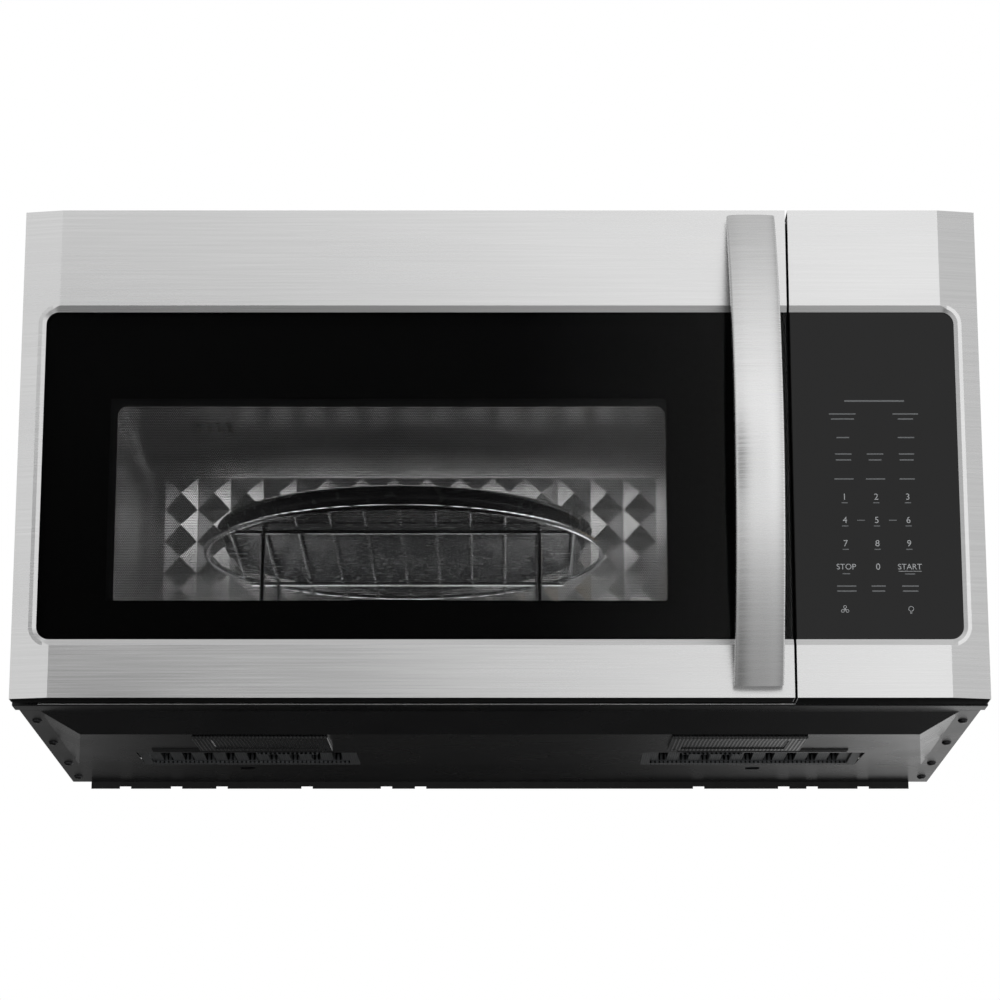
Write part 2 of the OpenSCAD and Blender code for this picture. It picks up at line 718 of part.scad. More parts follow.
// Wire rack: outer ring, inner bars and four bent legs that stand on the glass.
module rack() {
  bar_pitch = 28;
  leg_x = 4 * bar_pitch;
  leg_y = 96;
  foot_l = 8;
  zc = rack_top - wire_r;
  foot = plate_top + gap * 0.3;
  reach = rack_r - wire_r;
  color(steel) {
    translate([cavity_x, hub_y, zc]) rotate_extrude() translate([reach, 0]) circle(wire_r);
    for (i = [-5 : 5]) {
      half = sqrt(reach * reach - i * i * bar_pitch * bar_pitch);
      y_rod(hub_y - half, hub_y + half, cavity_x + i * bar_pitch, zc, wire_r * 0.7);
    }
    for (s = [-1, 1]) {
      half = sqrt(reach * reach - leg_y * leg_y);
      x_rod(cavity_x - half, cavity_x + half, hub_y + s * leg_y, zc - wire_r * 1.3, wire_r * 0.8);
    }
    for (sx = [-1, 1], sy = [-1, 1]) {
      x = cavity_x + sx * leg_x;
      y = hub_y + sy * leg_y;
      z_rod(foot + wire_r, zc - 1, x, y, wire_r * 0.9);
      y_rod(y - foot_l, y + foot_l, x, foot + wire_r, wire_r);
    }
  }
}

module crisper_tray() {
  z = rack_top + gap * 0.5;
  sheet = 1.6;
  color(black) translate([cavity_x, hub_y, z]) rotate_extrude() polygon([[0, 0], [tray_r - 8, 0],
    [tray_r - 2, tray_h - 2], [tray_r, tray_h - 2], [tray_r, tray_h], [tray_r - 3.6, tray_h],
    [tray_r - 9.4, sheet], [0, sheet]]);
}

module chassis_plate() {
  color(zinc) {
    difference() {
      span([bay_x0 + 12.4, cav_front + 6, chassis_z], [in_x, -15, chassis_z + case_t]);
      for (i = [0 : 4])
        span([bay_x0 + 30 + i * 30, -340, chassis_z - 1], [bay_x0 + 50 + i * 30, -250, chassis_z + 3]);
    }
    span([bay_x0 + 12.4, cav_front + 6, chassis_z], [bay_x0 + 13.6, -15, chassis_z + 14]);
    span([in_x - 1.2, cav_front + 6, chassis_z], [in_x, -15, chassis_z + 14]);
  }
}

module waveguide() {
  color(zinc) difference() {
    span([bay_x0, mag_y - 44, mag_z - 64], [mag_x0, mag_y + 44, mag_z + 44]);
    span([bay_x0 - 1, mag_y - 43, mag_z - 63], [mag_x0 - 1, mag_y + 43, mag_z + 43]);
    x_rod(mag_x0 - 2, mag_x0 + 1, mag_y, mag_z, 18);
  }
}

// Magnetron: antenna and its collar, an open yoke round cooling fins, two magnets and a filter box.
module magnetron() {
  yoke_w = 88;
  yoke_t = 3;
  fins = 8;
  fin_pitch = 5.5;
  inner = mag_half - yoke_t;
  color(zinc) {
    x_rod(mag_x0 - 26, mag_x0 + 6, mag_y, mag_z, 9);
    x_rod(mag_x0 - 30, mag_x0 - 20, mag_y, mag_z, 7);
    difference() {
      span([mag_x0, mag_y - mag_half, mag_z - mag_half],
           [mag_x0 + yoke_w, mag_y + mag_half, mag_z + mag_half]);
      span([mag_x0 + yoke_t, mag_y - mag_half - 1, mag_z - inner],
           [mag_x0 + yoke_w - yoke_t, mag_y + mag_half + 1, mag_z + inner]);
    }
    for (i = [0 : fins - 1]) translate([mag_x0 + 22 + i * fin_pitch, 0, 0])
      span([0, mag_y - 38, mag_z - inner - eps], [0.8, mag_y + 38, mag_z + inner + eps]);
    x_rod(mag_x0 + yoke_t - eps, mag_x0 + yoke_w - yoke_t + eps, mag_y, mag_z, 20);
    for (x = [mag_x0 + yoke_t, mag_x0 + 71]) x_rod(x - eps, x + 14 + eps, mag_y, mag_z, 29);
    span([mag_x0 + yoke_w - eps, mag_y - 36, mag_z - 30], [mag_x0 + yoke_w + 30, mag_y + 36, mag_z + 30]);
  }
}

module hv_transformer() {
  x = bay_x0 + 130;
  y = -95;
  z = chassis_z + case_t;
  color(copper_brown) difference() {
    union() {
      span([x - 47, y - 32, z + 2], [x + 47, y + 32, z + 80]);
      span([x - 56, y - 36, z], [x + 56, y + 36, z + 2]);
      for (s = [-1, 1]) z_prism(z + 18, z + 62)
        rrect(x - 33, y + (s > 0 ? 20 : -54), x + 33, y + (s > 0 ? 54 : -20), 12);
    }
    for (i = [0 : 3]) z_rod(z - 1, z + 5, x + (i % 2 == 0 ? -52 : 52), y + (i < 2 ? -30 : 30), 2.4);
  }
}

module hv_capacitor() {
  x = bay_x0 + 50;
  z = chassis_z + case_t;
  color(zinc) {
    z_prism(z, z + 92) rrect(x - 26, -262 + 40, x + 26, -230 + 40, 15.9);
    for (s = [-1, 1]) span([x + s * 10 - 3, -207, z + 91], [x + s * 10 + 3, -206, z + 102]);
  }
}

module cooling_fan_housing() {
  color(dark) {
    difference() {
      union() {
        span([fan_x - 60, -60, fan_z - 60], [fan_x + 60, -20, fan_z + 60]);
        span([fan_x - 60, -20 - eps, fan_z - 70], [fan_x + 60, -16, fan_z + 70]);
      }
      y_rod(-61, -30, fan_x, fan_z, 54);
      for (i = [0 : 5]) translate([fan_x, -31, fan_z]) rotate([0, i * 60, 0])
        translate([24, 0, -10]) cube([24, 20, 20]);
      y_rod(-48, -20, fan_x, fan_z, fan_shaft_r + run);
    }
    for (s = [-1, 1])
      span([fan_x - 60, -16 - eps, fan_z + s * 64 - 3], [fan_x + 60, -case_t, fan_z + s * 64 + 3]);
  }
}

module cooling_fan_wheel() {
  color(steel) {
    y_rod(-52, -24, fan_x, fan_z, fan_shaft_r);
    y_rod(-56, -34, fan_x, fan_z, 15);
    for (i = [0 : 6]) translate([fan_x, -45, fan_z]) rotate([0, i * 360 / 7, 0])
      translate([14, 0, 0]) rotate([28, 0, 0]) translate([0, -0.8, -13]) cube([37, 1.6, 26]);
  }
}

// Ventilation blower: two scroll housings either side of one motor, on top of the cavity.
module scroll() {
  translate([blower_y, blower_z]) circle(45);
  rect(blower_y, blower_z, blower_y + 45, top_in - 0.2);
}

module scroll_inside() {
  translate([blower_y, blower_z]) circle(45 - case_t);
  rect(blower_y + case_t, blower_z, blower_y + 45 - case_t, top_in + 1);
}

module blower_housing() {
  color(dark) difference() {
    union() {
      both_sides() x_prism(blow_x0, blow_x1) scroll();
      both_sides() span([blow_x0, blower_y - 40, cav_z1 + cavity_t], [blow_x1, blower_y + 40, cav_z1 + 12]);
      span([-blow_x1, blower_y - 20, cav_z1 + cavity_t], [blow_x1, blower_y + 20, cav_z1 + cavity_t + 1.2]);
    }
    both_sides() {
      x_prism(blow_x0 + case_t, blow_x1 - case_t) scroll_inside();
      x_rod(blow_x1 - 3, blow_x1 + 1, blower_y, blower_z, 28);
      x_rod(blow_x0 - 1, blow_x0 + 3, blower_y, blower_z, 8);
    }
  }
}

module blower_motor() {
  color(zinc) difference() {
    union() {
      x_rod(-30, 30, blower_y, blower_z, 34);
      for (s = [-1, 1]) x_rod(s > 0 ? 30 - eps : -38, s > 0 ? 38 : -30 + eps, blower_y, blower_z, 18);
      span([-20, blower_y - 14, cav_z1 + cavity_t + 1.2], [20, blower_y + 14, blower_z - 30]);
    }
    x_rod(-39, 39, blower_y, blower_z, fan_shaft_r + run);
  }
}

module blower_wheels() {
  color(steel) {
    x_rod(-104, 104, blower_y, blower_z, fan_shaft_r);
    for (s = [-1, 1]) {
      x0 = s > 0 ? 44 : -46;
      x_rod(x0, x0 + 2, blower_y, blower_z, 38);
      x_rod(s > 0 ? 44 : -60, s > 0 ? 60 : -44, blower_y, blower_z, 7);
      difference() {
        x_rod(s > 0 ? 108 : -110, s > 0 ? 110 : -108, blower_y, blower_z, 38);
        x_rod(-112, 112, blower_y, blower_z, 31);
      }
      for (i = [0 : 17]) translate([s > 0 ? 45 : -109, blower_y, blower_z]) rotate([i * 20, 0, 0])
        translate([0, -0.5, 31.5]) rotate([20, 0, 0]) cube([64, 1, 6]);
    }
  }
}

module latch_board() {
  color(black) difference() {
    span([latch_x - 15, cav_front, face_z0 + 92], [latch_x + 13, cav_front + 36, face_z0 + 308]);
    for (z = latch_zs)
      span([latch_x - 7, cav_front - 1, z - 24], [latch_x + 7, cav_front + 26, z + 24]);
    span([latch_x - 12, cav_front + 4, face_z0 + 166], [latch_x + 10, cav_front + 40, face_z0 + 234]);
  }
}

module interlock_switches() {
  color(dark) for (z = [face_z0 + 120, face_z0 + 262, face_z0 + 290]) {
    span([latch_x - 14, cav_front + 36, z - 8], [latch_x + 12, cav_front + 50, z + 8]);
    for (k = [-1, 0, 1]) translate([latch_x + k * 8, 0, z])
      span([-2, cav_front + 50 - eps, -0.5], [2, cav_front + 57, 0.5]);
  }
}

// Face parts: the glass inset has a bevel with round corners, cut by wedges and cones.
module glass_cut() {
  y0 = face_y - eps;
  y1 = face_y + bevel_d;
  b = bevel_w;
  x_prism(glass_x0 + glass_r, glass_x1 - glass_r)
    polygon([[y0, glass_z0 - b], [y1, glass_z0], [y1, glass_z1], [y0, glass_z1 + b]]);
  z_prism(glass_z0 + glass_r, glass_z1 - glass_r)
    polygon([[glass_x0 - b, y0], [glass_x1 + b, y0], [glass_x1, y1], [glass_x0, y1]]);
  for (x = [glass_x0 + glass_r, glass_x1 - glass_r], z = [glass_z0 + glass_r, glass_z1 - glass_r])
    translate([x, y1, z]) rotate([90, 0, 0]) cylinder(h = y1 - y0, r1 = glass_r, r2 = glass_r + b);
  y_prism(y1 - eps, glass_y + 1) rrect(glass_x0, glass_z0, glass_x1, glass_z1, glass_r);
}

module bevel_back() {
  rim = bevel_w + 1;
  y_prism(face_y + skin_t - eps, glass_y)
    rrect(glass_x0 - rim, glass_z0 - rim, glass_x1 + rim, glass_z1 + rim, glass_r + rim);
}

// Plan outline of the whole face, sloped at both ends; inset moves it inwards.
module face_plan(inset) {
  polygon([[-face_half + inset, door_back + 1], [-face_half + inset, face_y + end_slope_d + inset * 0.8],
    [-face_half + end_slope_w + inset * 0.2, face_y + inset],
    [face_half - end_slope_w - inset * 0.2, face_y + inset],
    [face_half - inset, face_y + end_slope_d + inset * 0.8], [face_half - inset, door_back + 1]]);
}

module face_shell(x0, x1, back_y) {
  difference() {
    intersection() {
      z_prism(face_z0, face_z1) face_plan(0);
      span([x0, face_y - 1, face_z0], [x1, back_y, face_z1]);
    }
    intersection() {
      z_prism(face_z0 + skin_t, face_z1 - skin_t) face_plan(skin_t);
      span([-face_half - 5, face_y - 1, face_z0], [face_half + 5, back_y + 9, face_z1]);
    }
  }
}

// Room round both handle screws, wherever the handle's length puts them.
module screw_room(y0, y1) {
  for (s = [-1, 1]) y_rod(y0, y1, handle_x, handle_z(s), screw_head_r + 0.2);
}

module door_skin() {
  color(steel) difference() {
    union() {
      face_shell(door_x0, door_x1, door_back - 8.5);
      intersection() {
        bevel_back();
        span([door_x0 + skin_t, face_y, face_z0], [door_x1, glass_y + 1, face_z1]);
      }
    }
    glass_cut();
    screw_room(face_y + skin_t + eps, door_back);
    // Room for the hinge arms at both left corners.
    for (z = [face_z0 + skin_t, face_z1 - skin_t - 4.7])
      span([door_x0 - 1, pin_y - 6.5, z], [door_x0 + skin_t + 0.5, door_back + 1, z + 4.7]);
  }
}

module door_glass() {
  x0 = glass_x0 - 1.5;
  z0 = glass_z0 - 5;
  z1 = glass_z1 + 5;
  color(black_glass) difference() {
    y_prism(glass_y, glass_back) intersection() {
      rrect(x0, z0, door_x1 + 30, z1, glass_r + 1);
      rect(x0, z0, door_x1 - 0.3, z1);
    }
    screw_room(glass_y - 1, glass_back + 1);
  }
}

module ring(y0, y1, a, b, t) {
  y_prism(y0, y1) difference() {
    rect(a[0] - t, a[1] - t, b[0] + t, b[1] + t);
    rect(a[0], a[1], b[0], b[1]);
  }
}

// Door chassis: pressed frame with a slotted wave trap round the window, the skilful piece.
module door_chassis() {
  t = case_t;
  cut = 6.5;
  color(black) difference() {
    intersection() {
      union() {
        span([chassis_x0, glass_back, chassis_z0], [chassis_x1, glass_back + t, chassis_z1]);
        ring(glass_back, door_back, [chassis_x0 + t, chassis_z0 + t], [chassis_x1 - t, chassis_z1 - t], t);
        difference() {
          y_prism(door_back - t, door_back) rect(chassis_x0, chassis_z0, chassis_x1, chassis_z1);
          y_prism(door_back - t - 1, door_back + 1)
            rect(trap_out_a[0], trap_out_a[1], trap_out_b[0], trap_out_b[1]);
        }
        ring(glass_back, door_back - 2, [win_x0, win_z0], [win_x1, win_z1], t);
        ring(glass_back, door_back - 4, trap_a, trap_b, t);
        ring(glass_back, door_back, trap_out_a, trap_out_b, t);
        for (z = [chassis_z0, chassis_z1 - 12])
          span([chassis_x0, glass_back, z], [pin_x + 9, door_back - 6, z + 12]);
      }
      z_prism(chassis_z0 - 1, chassis_z1 + 1) polygon([[chassis_x0, face_y], [chassis_x1 + 1, face_y],
        [chassis_x1 + 1, door_back], [chassis_x0 + cut, door_back], [chassis_x0, door_back - cut]]);
    }
    y_prism(glass_back - 1, glass_back + t + 1) rect(win_x0, win_z0, win_x1, win_z1);
    // Comb slots of the wave trap.
    for (i = [0 : 22], z = [trap_a[1] - t - 1, trap_b[1] - 1])
      translate([trap_a[0] + 14 + i * comb_pitch, 0, z])
        span([0, door_back - 15, 0], [comb_w, door_back - 3, t + 2]);
    for (i = [0 : 8], x = [trap_a[0] - t - 1, trap_b[0] - 1])
      translate([x, 0, trap_a[1] + 18 + i * comb_pitch])
        span([0, door_back - 15, 0], [t + 2, door_back - 3, comb_w]);
    // Latch slots and hinge bores.
    for (z = latch_zs)
      span([latch_x - 5, door_back - t - 1, z - 20], [latch_x + 5, door_back + 1, z + 20]);
    z_rod(chassis_z0 - 1, chassis_z0 + 10, pin_x, pin_y, pin_r + run);
    z_rod(chassis_z1 - 10, chassis_z1 + 1, pin_x, pin_y, pin_r + run);
    // Handle screw holes.
    screw_room(glass_back - 1, door_back + 1);
  }
}

function handle_z(s) = mid_z + s * (handle_l / 2 - 16);

module window_mesh() {
  color(dark) y_prism(glass_back + case_t, glass_back + case_t + 0.6) rect(win_x0, win_z0, win_x1, win_z1);
}

module inner_glass() {
  color(clear_glass) y_prism(door_back - 4.2, door_back - 2) rect(win_x0, win_z0, win_x1, win_z1);
}

// Plastic cover over the wave trap; its inner edge holds the inner glass.
module choke_cover() {
  color(black) y_prism(door_back - 2, door_back - 0.4) difference() {
    rrect(trap_out_a[0] + 0.1, trap_out_a[1] + 0.1, trap_out_b[0] - 0.1, trap_out_b[1] - 0.1, 2);
    rrect(win_x0 + 8, win_z0 + 8, win_x1 - 8, win_z1 - 8, 8);
  }
}

// Handle: rounded bar bent on one arc and cut off flat where it meets the face.
module handle_arc() {
  sweep = asin(handle_l / 2 / handle_radius);
  translate([handle_x, handle_yc, mid_z]) rotate([0, 90, 0])
    rotate([0, 0, -90 - sweep]) rotate_extrude(angle = 2 * sweep)
      rrect(handle_radius - handle_t, -handle_w / 2, handle_radius, handle_w / 2, 4);
}

module handle() {
  color(steel) difference() {
    handle_arc();
    span([handle_x - 40, face_y - eps, face_z0], [handle_x + 40, face_y + 40, face_z1]);
  }
}

// Feet: short posts between the face and the inner side of the bar, whose arc they follow.
module handle_feet() {
  color(steel) difference() {
    intersection() {
      for (s = [-1, 1]) y_prism(face_y - handle_out, face_y)
        rrect(handle_x - 15, handle_z(s) - 10, handle_x + 15, handle_z(s) + 10, 5);
      x_rod(handle_x - 20, handle_x + 20, handle_yc, mid_z, handle_radius - handle_t, $fn = 720);
    }
    for (s = [-1, 1]) y_rod(face_y - 9, face_y + 1, handle_x, handle_z(s), 2.5);
  }
}

module handle_screws() {
  head = 3;
  y = face_y + skin_t + gap;
  color(zinc) for (s = [-1, 1]) y_rod(y, y + head, handle_x, handle_z(s), screw_head_r);
}

module latch_hooks() {
  color(dark) {
    difference() {
      span([latch_x - 4, glass_back + 2.2, face_z0 + 105],
           [latch_x + 4, door_back - case_t - gap, face_z0 + 295]);
      span([latch_x - 5, glass_back + 5, face_z0 + 165], [latch_x + 5, door_back, face_z0 + 235]);
    }
    for (z = latch_zs) x_prism(latch_x - 3, latch_x + 3)
      polygon([[door_back - 3, z - 8], [door_back + 24, z - 8], [door_back + 24, z + 3],
        [door_back + 20, z + 9], [door_back + 14, z + 9], [door_back + 14, z + 3], [door_back - 3, z + 3]]);
  }
}

module hinge_arm(z) {
  span([pin_x - 4, pin_y, z], [pin_x + 4, cav_front + 2.5, z + arm_t]);
  z_rod(z, z + arm_t, pin_x, pin_y, 4);
}

module upper_hinge() {
  z = upper_arm_z;
  color(zinc) {
    hinge_arm(z);
    z_rod(chassis_z1 - 9, z + 1, pin_x, pin_y, pin_r);
    span([pin_x - 7, cav_front, z - 46], [pin_x + 24, cav_front + 2.5, z + arm_t]);
  }
}

module lower_hinge() {
  z = lower_arm_z;
  color(zinc) {
    hinge_arm(z);
    z_rod(z + 1, chassis_z0 + 9, pin_x, pin_y, pin_r);
    z_rod(z + 2, chassis_z0 - 0.1, pin_x, pin_y, pin_r + 0.8);
    span([pin_x - 7, cav_front, z], [pin_x + 24, cav_front + 2.5, z + 46]);
  }
}

module control_frame() {
  color(steel) difference() {
    union() {
      face_shell(panel_x0, face_half, door_back - 0.5);
      intersection() {
        bevel_back();
        span([panel_x0, face_y, face_z0], [face_half - skin_t, glass_y + 1, face_z1]);
      }
    }
    glass_cut();
  }
}

module control_glass() {
  x1 = glass_x1 + 1.5;
  z0 = glass_z0 - 5;
  z1 = glass_z1 + 5;
  color(black) y_prism(glass_y, glass_back) intersection() {
    rrect(panel_x0 - 30, z0, x1, z1, glass_r + 1);
    rect(panel_x0 + 0.3, z0, x1, z1);
  }
}

module control_housing() {
  x0 = panel_x0 + 0.6;
  x1 = face_half - skin_t - 0.3;
  z0 = face_z0 + skin_t + 0.3;
  z1 = face_z1 - skin_t - 0.3;
  color(dark) difference() {
    span([x0, glass_back, z0], [x1, front_y, z1]);
    span([x0 + 2, glass_back - 1, z0 + 12], [x1 - 2, front_y - 2.5, z1 - 12]);
    y_prism(front_y - 4, front_y + 1) rect(x0 + 30, z0 + 60, x1 - 30, z1 - 60);
  }
}

module control_board() {
  x0 = panel_x0 + 12;
  x1 = face_half - 14;
  y = glass_back + 9;
  color(board_green) {
    span([x0, y, face_z0 + 60], [x1, y + 1.6, face_z0 + 300]);
    for (z = [face_z0 + 90, face_z0 + 150, face_z0 + 210])
      span([x0 + 10, y + 1.6 - eps, z], [x0 + 34, y + 6.2, z + 24]);
    span([x0 + 60, y + 1.6 - eps, face_z0 + 100], [x0 + 96, y + 6.5, face_z0 + 140]);
    for (x = [x0 + 4, x1 - 10], z = [face_z0 + 64, face_z0 + 290])
      span([x, y + 1.6 - eps, z], [x + 6, front_y - 2.5, z + 6]);
  }
}

module display_module() {
  x0 = panel_x0 + 24;
  color(dark) {
    span([x0, glass_back + 1.4, face_z0 + 236], [x0 + 100, glass_back + 9, face_z0 + 290]);
    span([x0 + 4, glass_back, face_z0 + 240], [x0 + 96, glass_back + 1.4 + eps, face_z0 + 286]);
  }
}

// Gland: a flanged bush with a collar under the sheet; the cord passes through it.
module cord_gland() {
  color(black) difference() {
    union() {
      z_rod(top_in - 4, body_h + 2, cord_x, cord_y, cord_r - 0.1);
      z_rod(body_h, body_h + 2, cord_x, cord_y, cord_r + 3);
      z_rod(top_in - 4, top_in, cord_x, cord_y, cord_r + 2);
    }
    z_rod(top_in - 5, body_h + 3, cord_x, cord_y, 6);
  }
}

module cabinet_nuts() {
  color(zinc) for (s = [-1, 1]) translate([s * bolt_pitch / 2, bolt_y, top_in]) difference() {
    span([-9, -9, -8], [9, 9, 0]);
    translate([0, 0, -9]) cylinder(h = 10, r = bolt_r);
  }
}

outer_case();
back_panel();
base_pan();
front_frame();
vent_grille();
charcoal_filter();
grease_filter_left();
grease_filter_right();
lamp_cover_left();
lamp_cover_right();
surface_lamps();
pan_screws();
chassis_plate();
cavity();
cavity_back_wall();
waveguide_cover();
cavity_lamp();
convection_housing();
heater_ring();
convection_fan();
convection_motor();
turntable_motor();
turntable_coupler();
roller_ring();
roller_a();
roller_b();
roller_c();
glass_turntable();
rack();
crisper_tray();
magnetron();
waveguide();
hv_transformer();
hv_capacitor();
cooling_fan_housing();
cooling_fan_wheel();
blower_housing();
blower_motor();
blower_wheels();
latch_board();
interlock_switches();
control_frame();
control_glass();
control_housing();
control_board();
display_module();
door_skin();
door_glass();
door_chassis();
window_mesh();
inner_glass();
choke_cover();
handle();
handle_feet();
handle_screws();
latch_hooks();
upper_hinge();
lower_hinge();
cord_gland();
cabinet_nuts();
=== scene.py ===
"""Over-the-range microwave oven: finishes, glass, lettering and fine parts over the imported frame."""
import json
import math

import bmesh
import bpy
from mathutils import Matrix, Vector

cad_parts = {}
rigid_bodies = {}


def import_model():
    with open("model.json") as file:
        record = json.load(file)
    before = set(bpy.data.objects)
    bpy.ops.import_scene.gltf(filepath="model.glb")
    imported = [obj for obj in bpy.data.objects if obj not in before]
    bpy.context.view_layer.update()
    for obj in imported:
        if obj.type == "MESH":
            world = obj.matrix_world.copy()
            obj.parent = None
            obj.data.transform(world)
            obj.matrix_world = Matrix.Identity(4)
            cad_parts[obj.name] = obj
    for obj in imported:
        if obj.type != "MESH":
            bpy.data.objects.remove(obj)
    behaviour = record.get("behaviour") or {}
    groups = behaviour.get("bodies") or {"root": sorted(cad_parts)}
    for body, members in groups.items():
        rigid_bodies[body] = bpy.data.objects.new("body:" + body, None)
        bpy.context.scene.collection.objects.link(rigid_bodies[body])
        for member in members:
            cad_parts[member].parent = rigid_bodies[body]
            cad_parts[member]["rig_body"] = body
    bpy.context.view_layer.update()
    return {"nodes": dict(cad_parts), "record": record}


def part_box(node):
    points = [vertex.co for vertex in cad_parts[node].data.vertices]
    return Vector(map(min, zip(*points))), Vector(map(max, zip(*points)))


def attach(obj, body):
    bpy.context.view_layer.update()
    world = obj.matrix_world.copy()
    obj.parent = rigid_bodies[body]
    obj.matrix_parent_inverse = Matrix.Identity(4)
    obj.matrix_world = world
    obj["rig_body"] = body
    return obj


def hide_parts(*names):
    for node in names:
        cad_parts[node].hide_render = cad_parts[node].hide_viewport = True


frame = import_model()

MM = 0.001  # metres in a millimetre
UP = (0, 0, 1)
WELD, CAD_WELD = 0.001, 0.002  # points this near are one, in a new mesh and in a copied solid
NEAR = 0.01  # a tolerance in millimetres


def box_mm(node):
    """Lowest and highest corner of a CAD node, in millimetres."""
    low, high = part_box(node)
    return low / MM, high / MM


# Driving places of the face, in millimetres, from the frame
SKIN_LOW, SKIN_HIGH = box_mm("door_skin")
PANEL_LOW, PANEL_HIGH = box_mm("control_frame")
GLASS_LOW, GLASS_HIGH = box_mm("door_glass")
FACE_Y = SKIN_LOW.y
GLASS_Y = GLASS_LOW.y
GLASS_BACK = GLASS_HIGH.y
OVEN_X = (-325, 165)  # sides of the room inside the liner


# Colour and node helpers

CORE = (0.3, 0.7)  # part of a 0 to 1 pattern that holds most of its values


def linear(hex_colour):
    """An sRGB hex colour as linear RGBA."""
    channels = [int(hex_colour[i:i + 2], 16) / 255 for i in (1, 3, 5)]
    return [c / 12.92 if c <= 0.04045 else ((c + 0.055) / 1.055) ** 2.4 for c in channels] + [1.0]


def add(tree, kind, sockets=None, **settings):
    """Adds one shader node with its settings, and sets or links the sockets that are named."""
    node = tree.nodes.new("ShaderNode" + kind)
    for name, value in settings.items():
        setattr(node, name, value)
    for name, value in (sockets or {}).items():
        if isinstance(value, bpy.types.NodeSocket):
            tree.links.new(value, node.inputs[name])
        else:
            node.inputs[name].default_value = value
    return node


def begin(name, **sockets):
    """A new material with its shader's plain sockets set; gives it, its tree and the shader."""
    made = bpy.data.materials.new(name)
    made.use_nodes = True
    shader = made.node_tree.nodes["Principled BSDF"]
    for key, value in sockets.items():
        shader.inputs[key.replace("_", " ")].default_value = value
    return made, made.node_tree, shader


def noise(tree, size_mm, stretch=(1, 1, 1), detail=3.0):
    """Noise whose grains measure about size_mm, times the stretch along each axis of the object."""
    place = add(tree, "TexCoord").outputs["Object"]
    scale = [1 / (size_mm * MM * s) for s in stretch]
    placed = add(tree, "Mapping", {"Vector": place, "Scale": scale})
    grains = add(tree, "TexNoise", {"Vector": placed.outputs[0], "Scale": 1.0, "Detail": detail})
    return grains.outputs["Fac"]


def between(tree, factor, low, high):
    """Spreads a 0 to 1 pattern's middle between two values."""
    spread = add(tree, "MapRange", {"Value": factor, "From Min": CORE[0], "From Max": CORE[1],
                                    "To Min": low, "To Max": high})
    return spread.outputs[0]


def maths(tree, operation, *values):
    """The result of one maths node."""
    return add(tree, "Math", dict(enumerate(values)), operation=operation).outputs[0]


def bands(period_mm):
    """Scale of a wave texture whose bands repeat after this many millimetres."""
    return 1 / (period_mm * MM) / 20 * 2 * math.pi


def two_tone(tree, factor, first, second, reach=CORE):
    """Colour that goes from one hex value to another over part of a pattern."""
    ramp = add(tree, "ValToRGB", {"Fac": factor})
    for element, place, tone in zip(ramp.color_ramp.elements, reach, (first, second)):
        element.position = place
        element.color = linear(tone)
    return ramp.outputs["Color"]


def relief(tree, shader, height, depth_mm):
    """Gives the shader a bump of a real depth."""
    bump = add(tree, "Bump", {"Height": height, "Distance": depth_mm * MM, "Strength": 1.0})
    tree.links.new(bump.outputs[0], shader.inputs["Normal"])


def feed(tree, shader, **sockets):
    """Links patterns to the shader's sockets."""
    for key, value in sockets.items():
        tree.links.new(value, shader.inputs[key.replace("_", " ")])


# Finishes, each named for the real material

DARK_COAT = linear("#060707")


def brushed_stainless():
    """Stainless sheet with a long horizontal brush: soft streaks 0.8 mm high, drawn that coarse to show."""
    made, tree, shader = begin("brushed_stainless", Metallic=1.0, Roughness=0.26)
    streaks = noise(tree, 0.8, stretch=(110, 110, 1), detail=4.0)
    cloud = noise(tree, 60, stretch=(3, 3, 1), detail=1.0)
    feed(tree, shader, Base_Color=two_tone(tree, streaks, "#dcdcdc", "#e4e4e4"))
    blend = maths(tree, "MULTIPLY", streaks, cloud)
    spread = add(tree, "MapRange", {"Value": blend, "From Min": 0.1, "From Max": 0.4,
                                    "To Min": 0.235, "To Max": 0.285})
    feed(tree, shader, Roughness=spread.outputs[0])
    relief(tree, shader, streaks, 0.003)
    return made


def brushed_handle_steel():
    """Stainless bar brushed across its width: shorter streaks than the sheet's, and coloured a little
    brighter than the sheet as painted light.
    """
    made, tree, shader = begin("brushed_handle_steel", Metallic=1.0, Roughness=0.26)
    streaks = noise(tree, 0.9, stretch=(60, 20, 1), detail=3.0)
    # Painted light: a paler steel than the sheet's.
    feed(tree, shader, Base_Color=two_tone(tree, streaks, "#dedede", "#ebebeb"))
    feed(tree, shader, Roughness=between(tree, streaks, 0.24, 0.31))
    relief(tree, shader, streaks, 0.0012)
    return made


def cavity_steel():
    """Bright rolled stainless of the liner: near a mirror, with a faint drawn grain and dulled clouds."""
    made, tree, shader = begin("cavity_steel", Metallic=0.82, Roughness=0.25)
    grain = noise(tree, 1.5, stretch=(1, 20, 20), detail=2.0)
    cloud = noise(tree, 45, detail=2.0)
    feed(tree, shader, Base_Color=two_tone(tree, cloud, "#b3b3b3", "#bebebe"))
    feed(tree, shader, Roughness=between(tree, cloud, 0.21, 0.26))
    relief(tree, shader, grain, 0.0015)
    return made


def satin_black_enamel():
    """Baked black enamel on steel sheet: satin, with a faint orange peel about 2 mm across."""
    made, tree, shader = begin("satin_black_enamel", Roughness=0.27, IOR=1.5, Specular_IOR_Level=0.4)
    peel = noise(tree, 2.0, detail=1.0)
    cloud = noise(tree, 70, detail=2.0)
    feed(tree, shader, Base_Color=two_tone(tree, cloud, "#0f0f10", "#131314"))
    feed(tree, shader, Roughness=between(tree, cloud, 0.25, 0.29))
    relief(tree, shader, peel, 0.012)
    return made


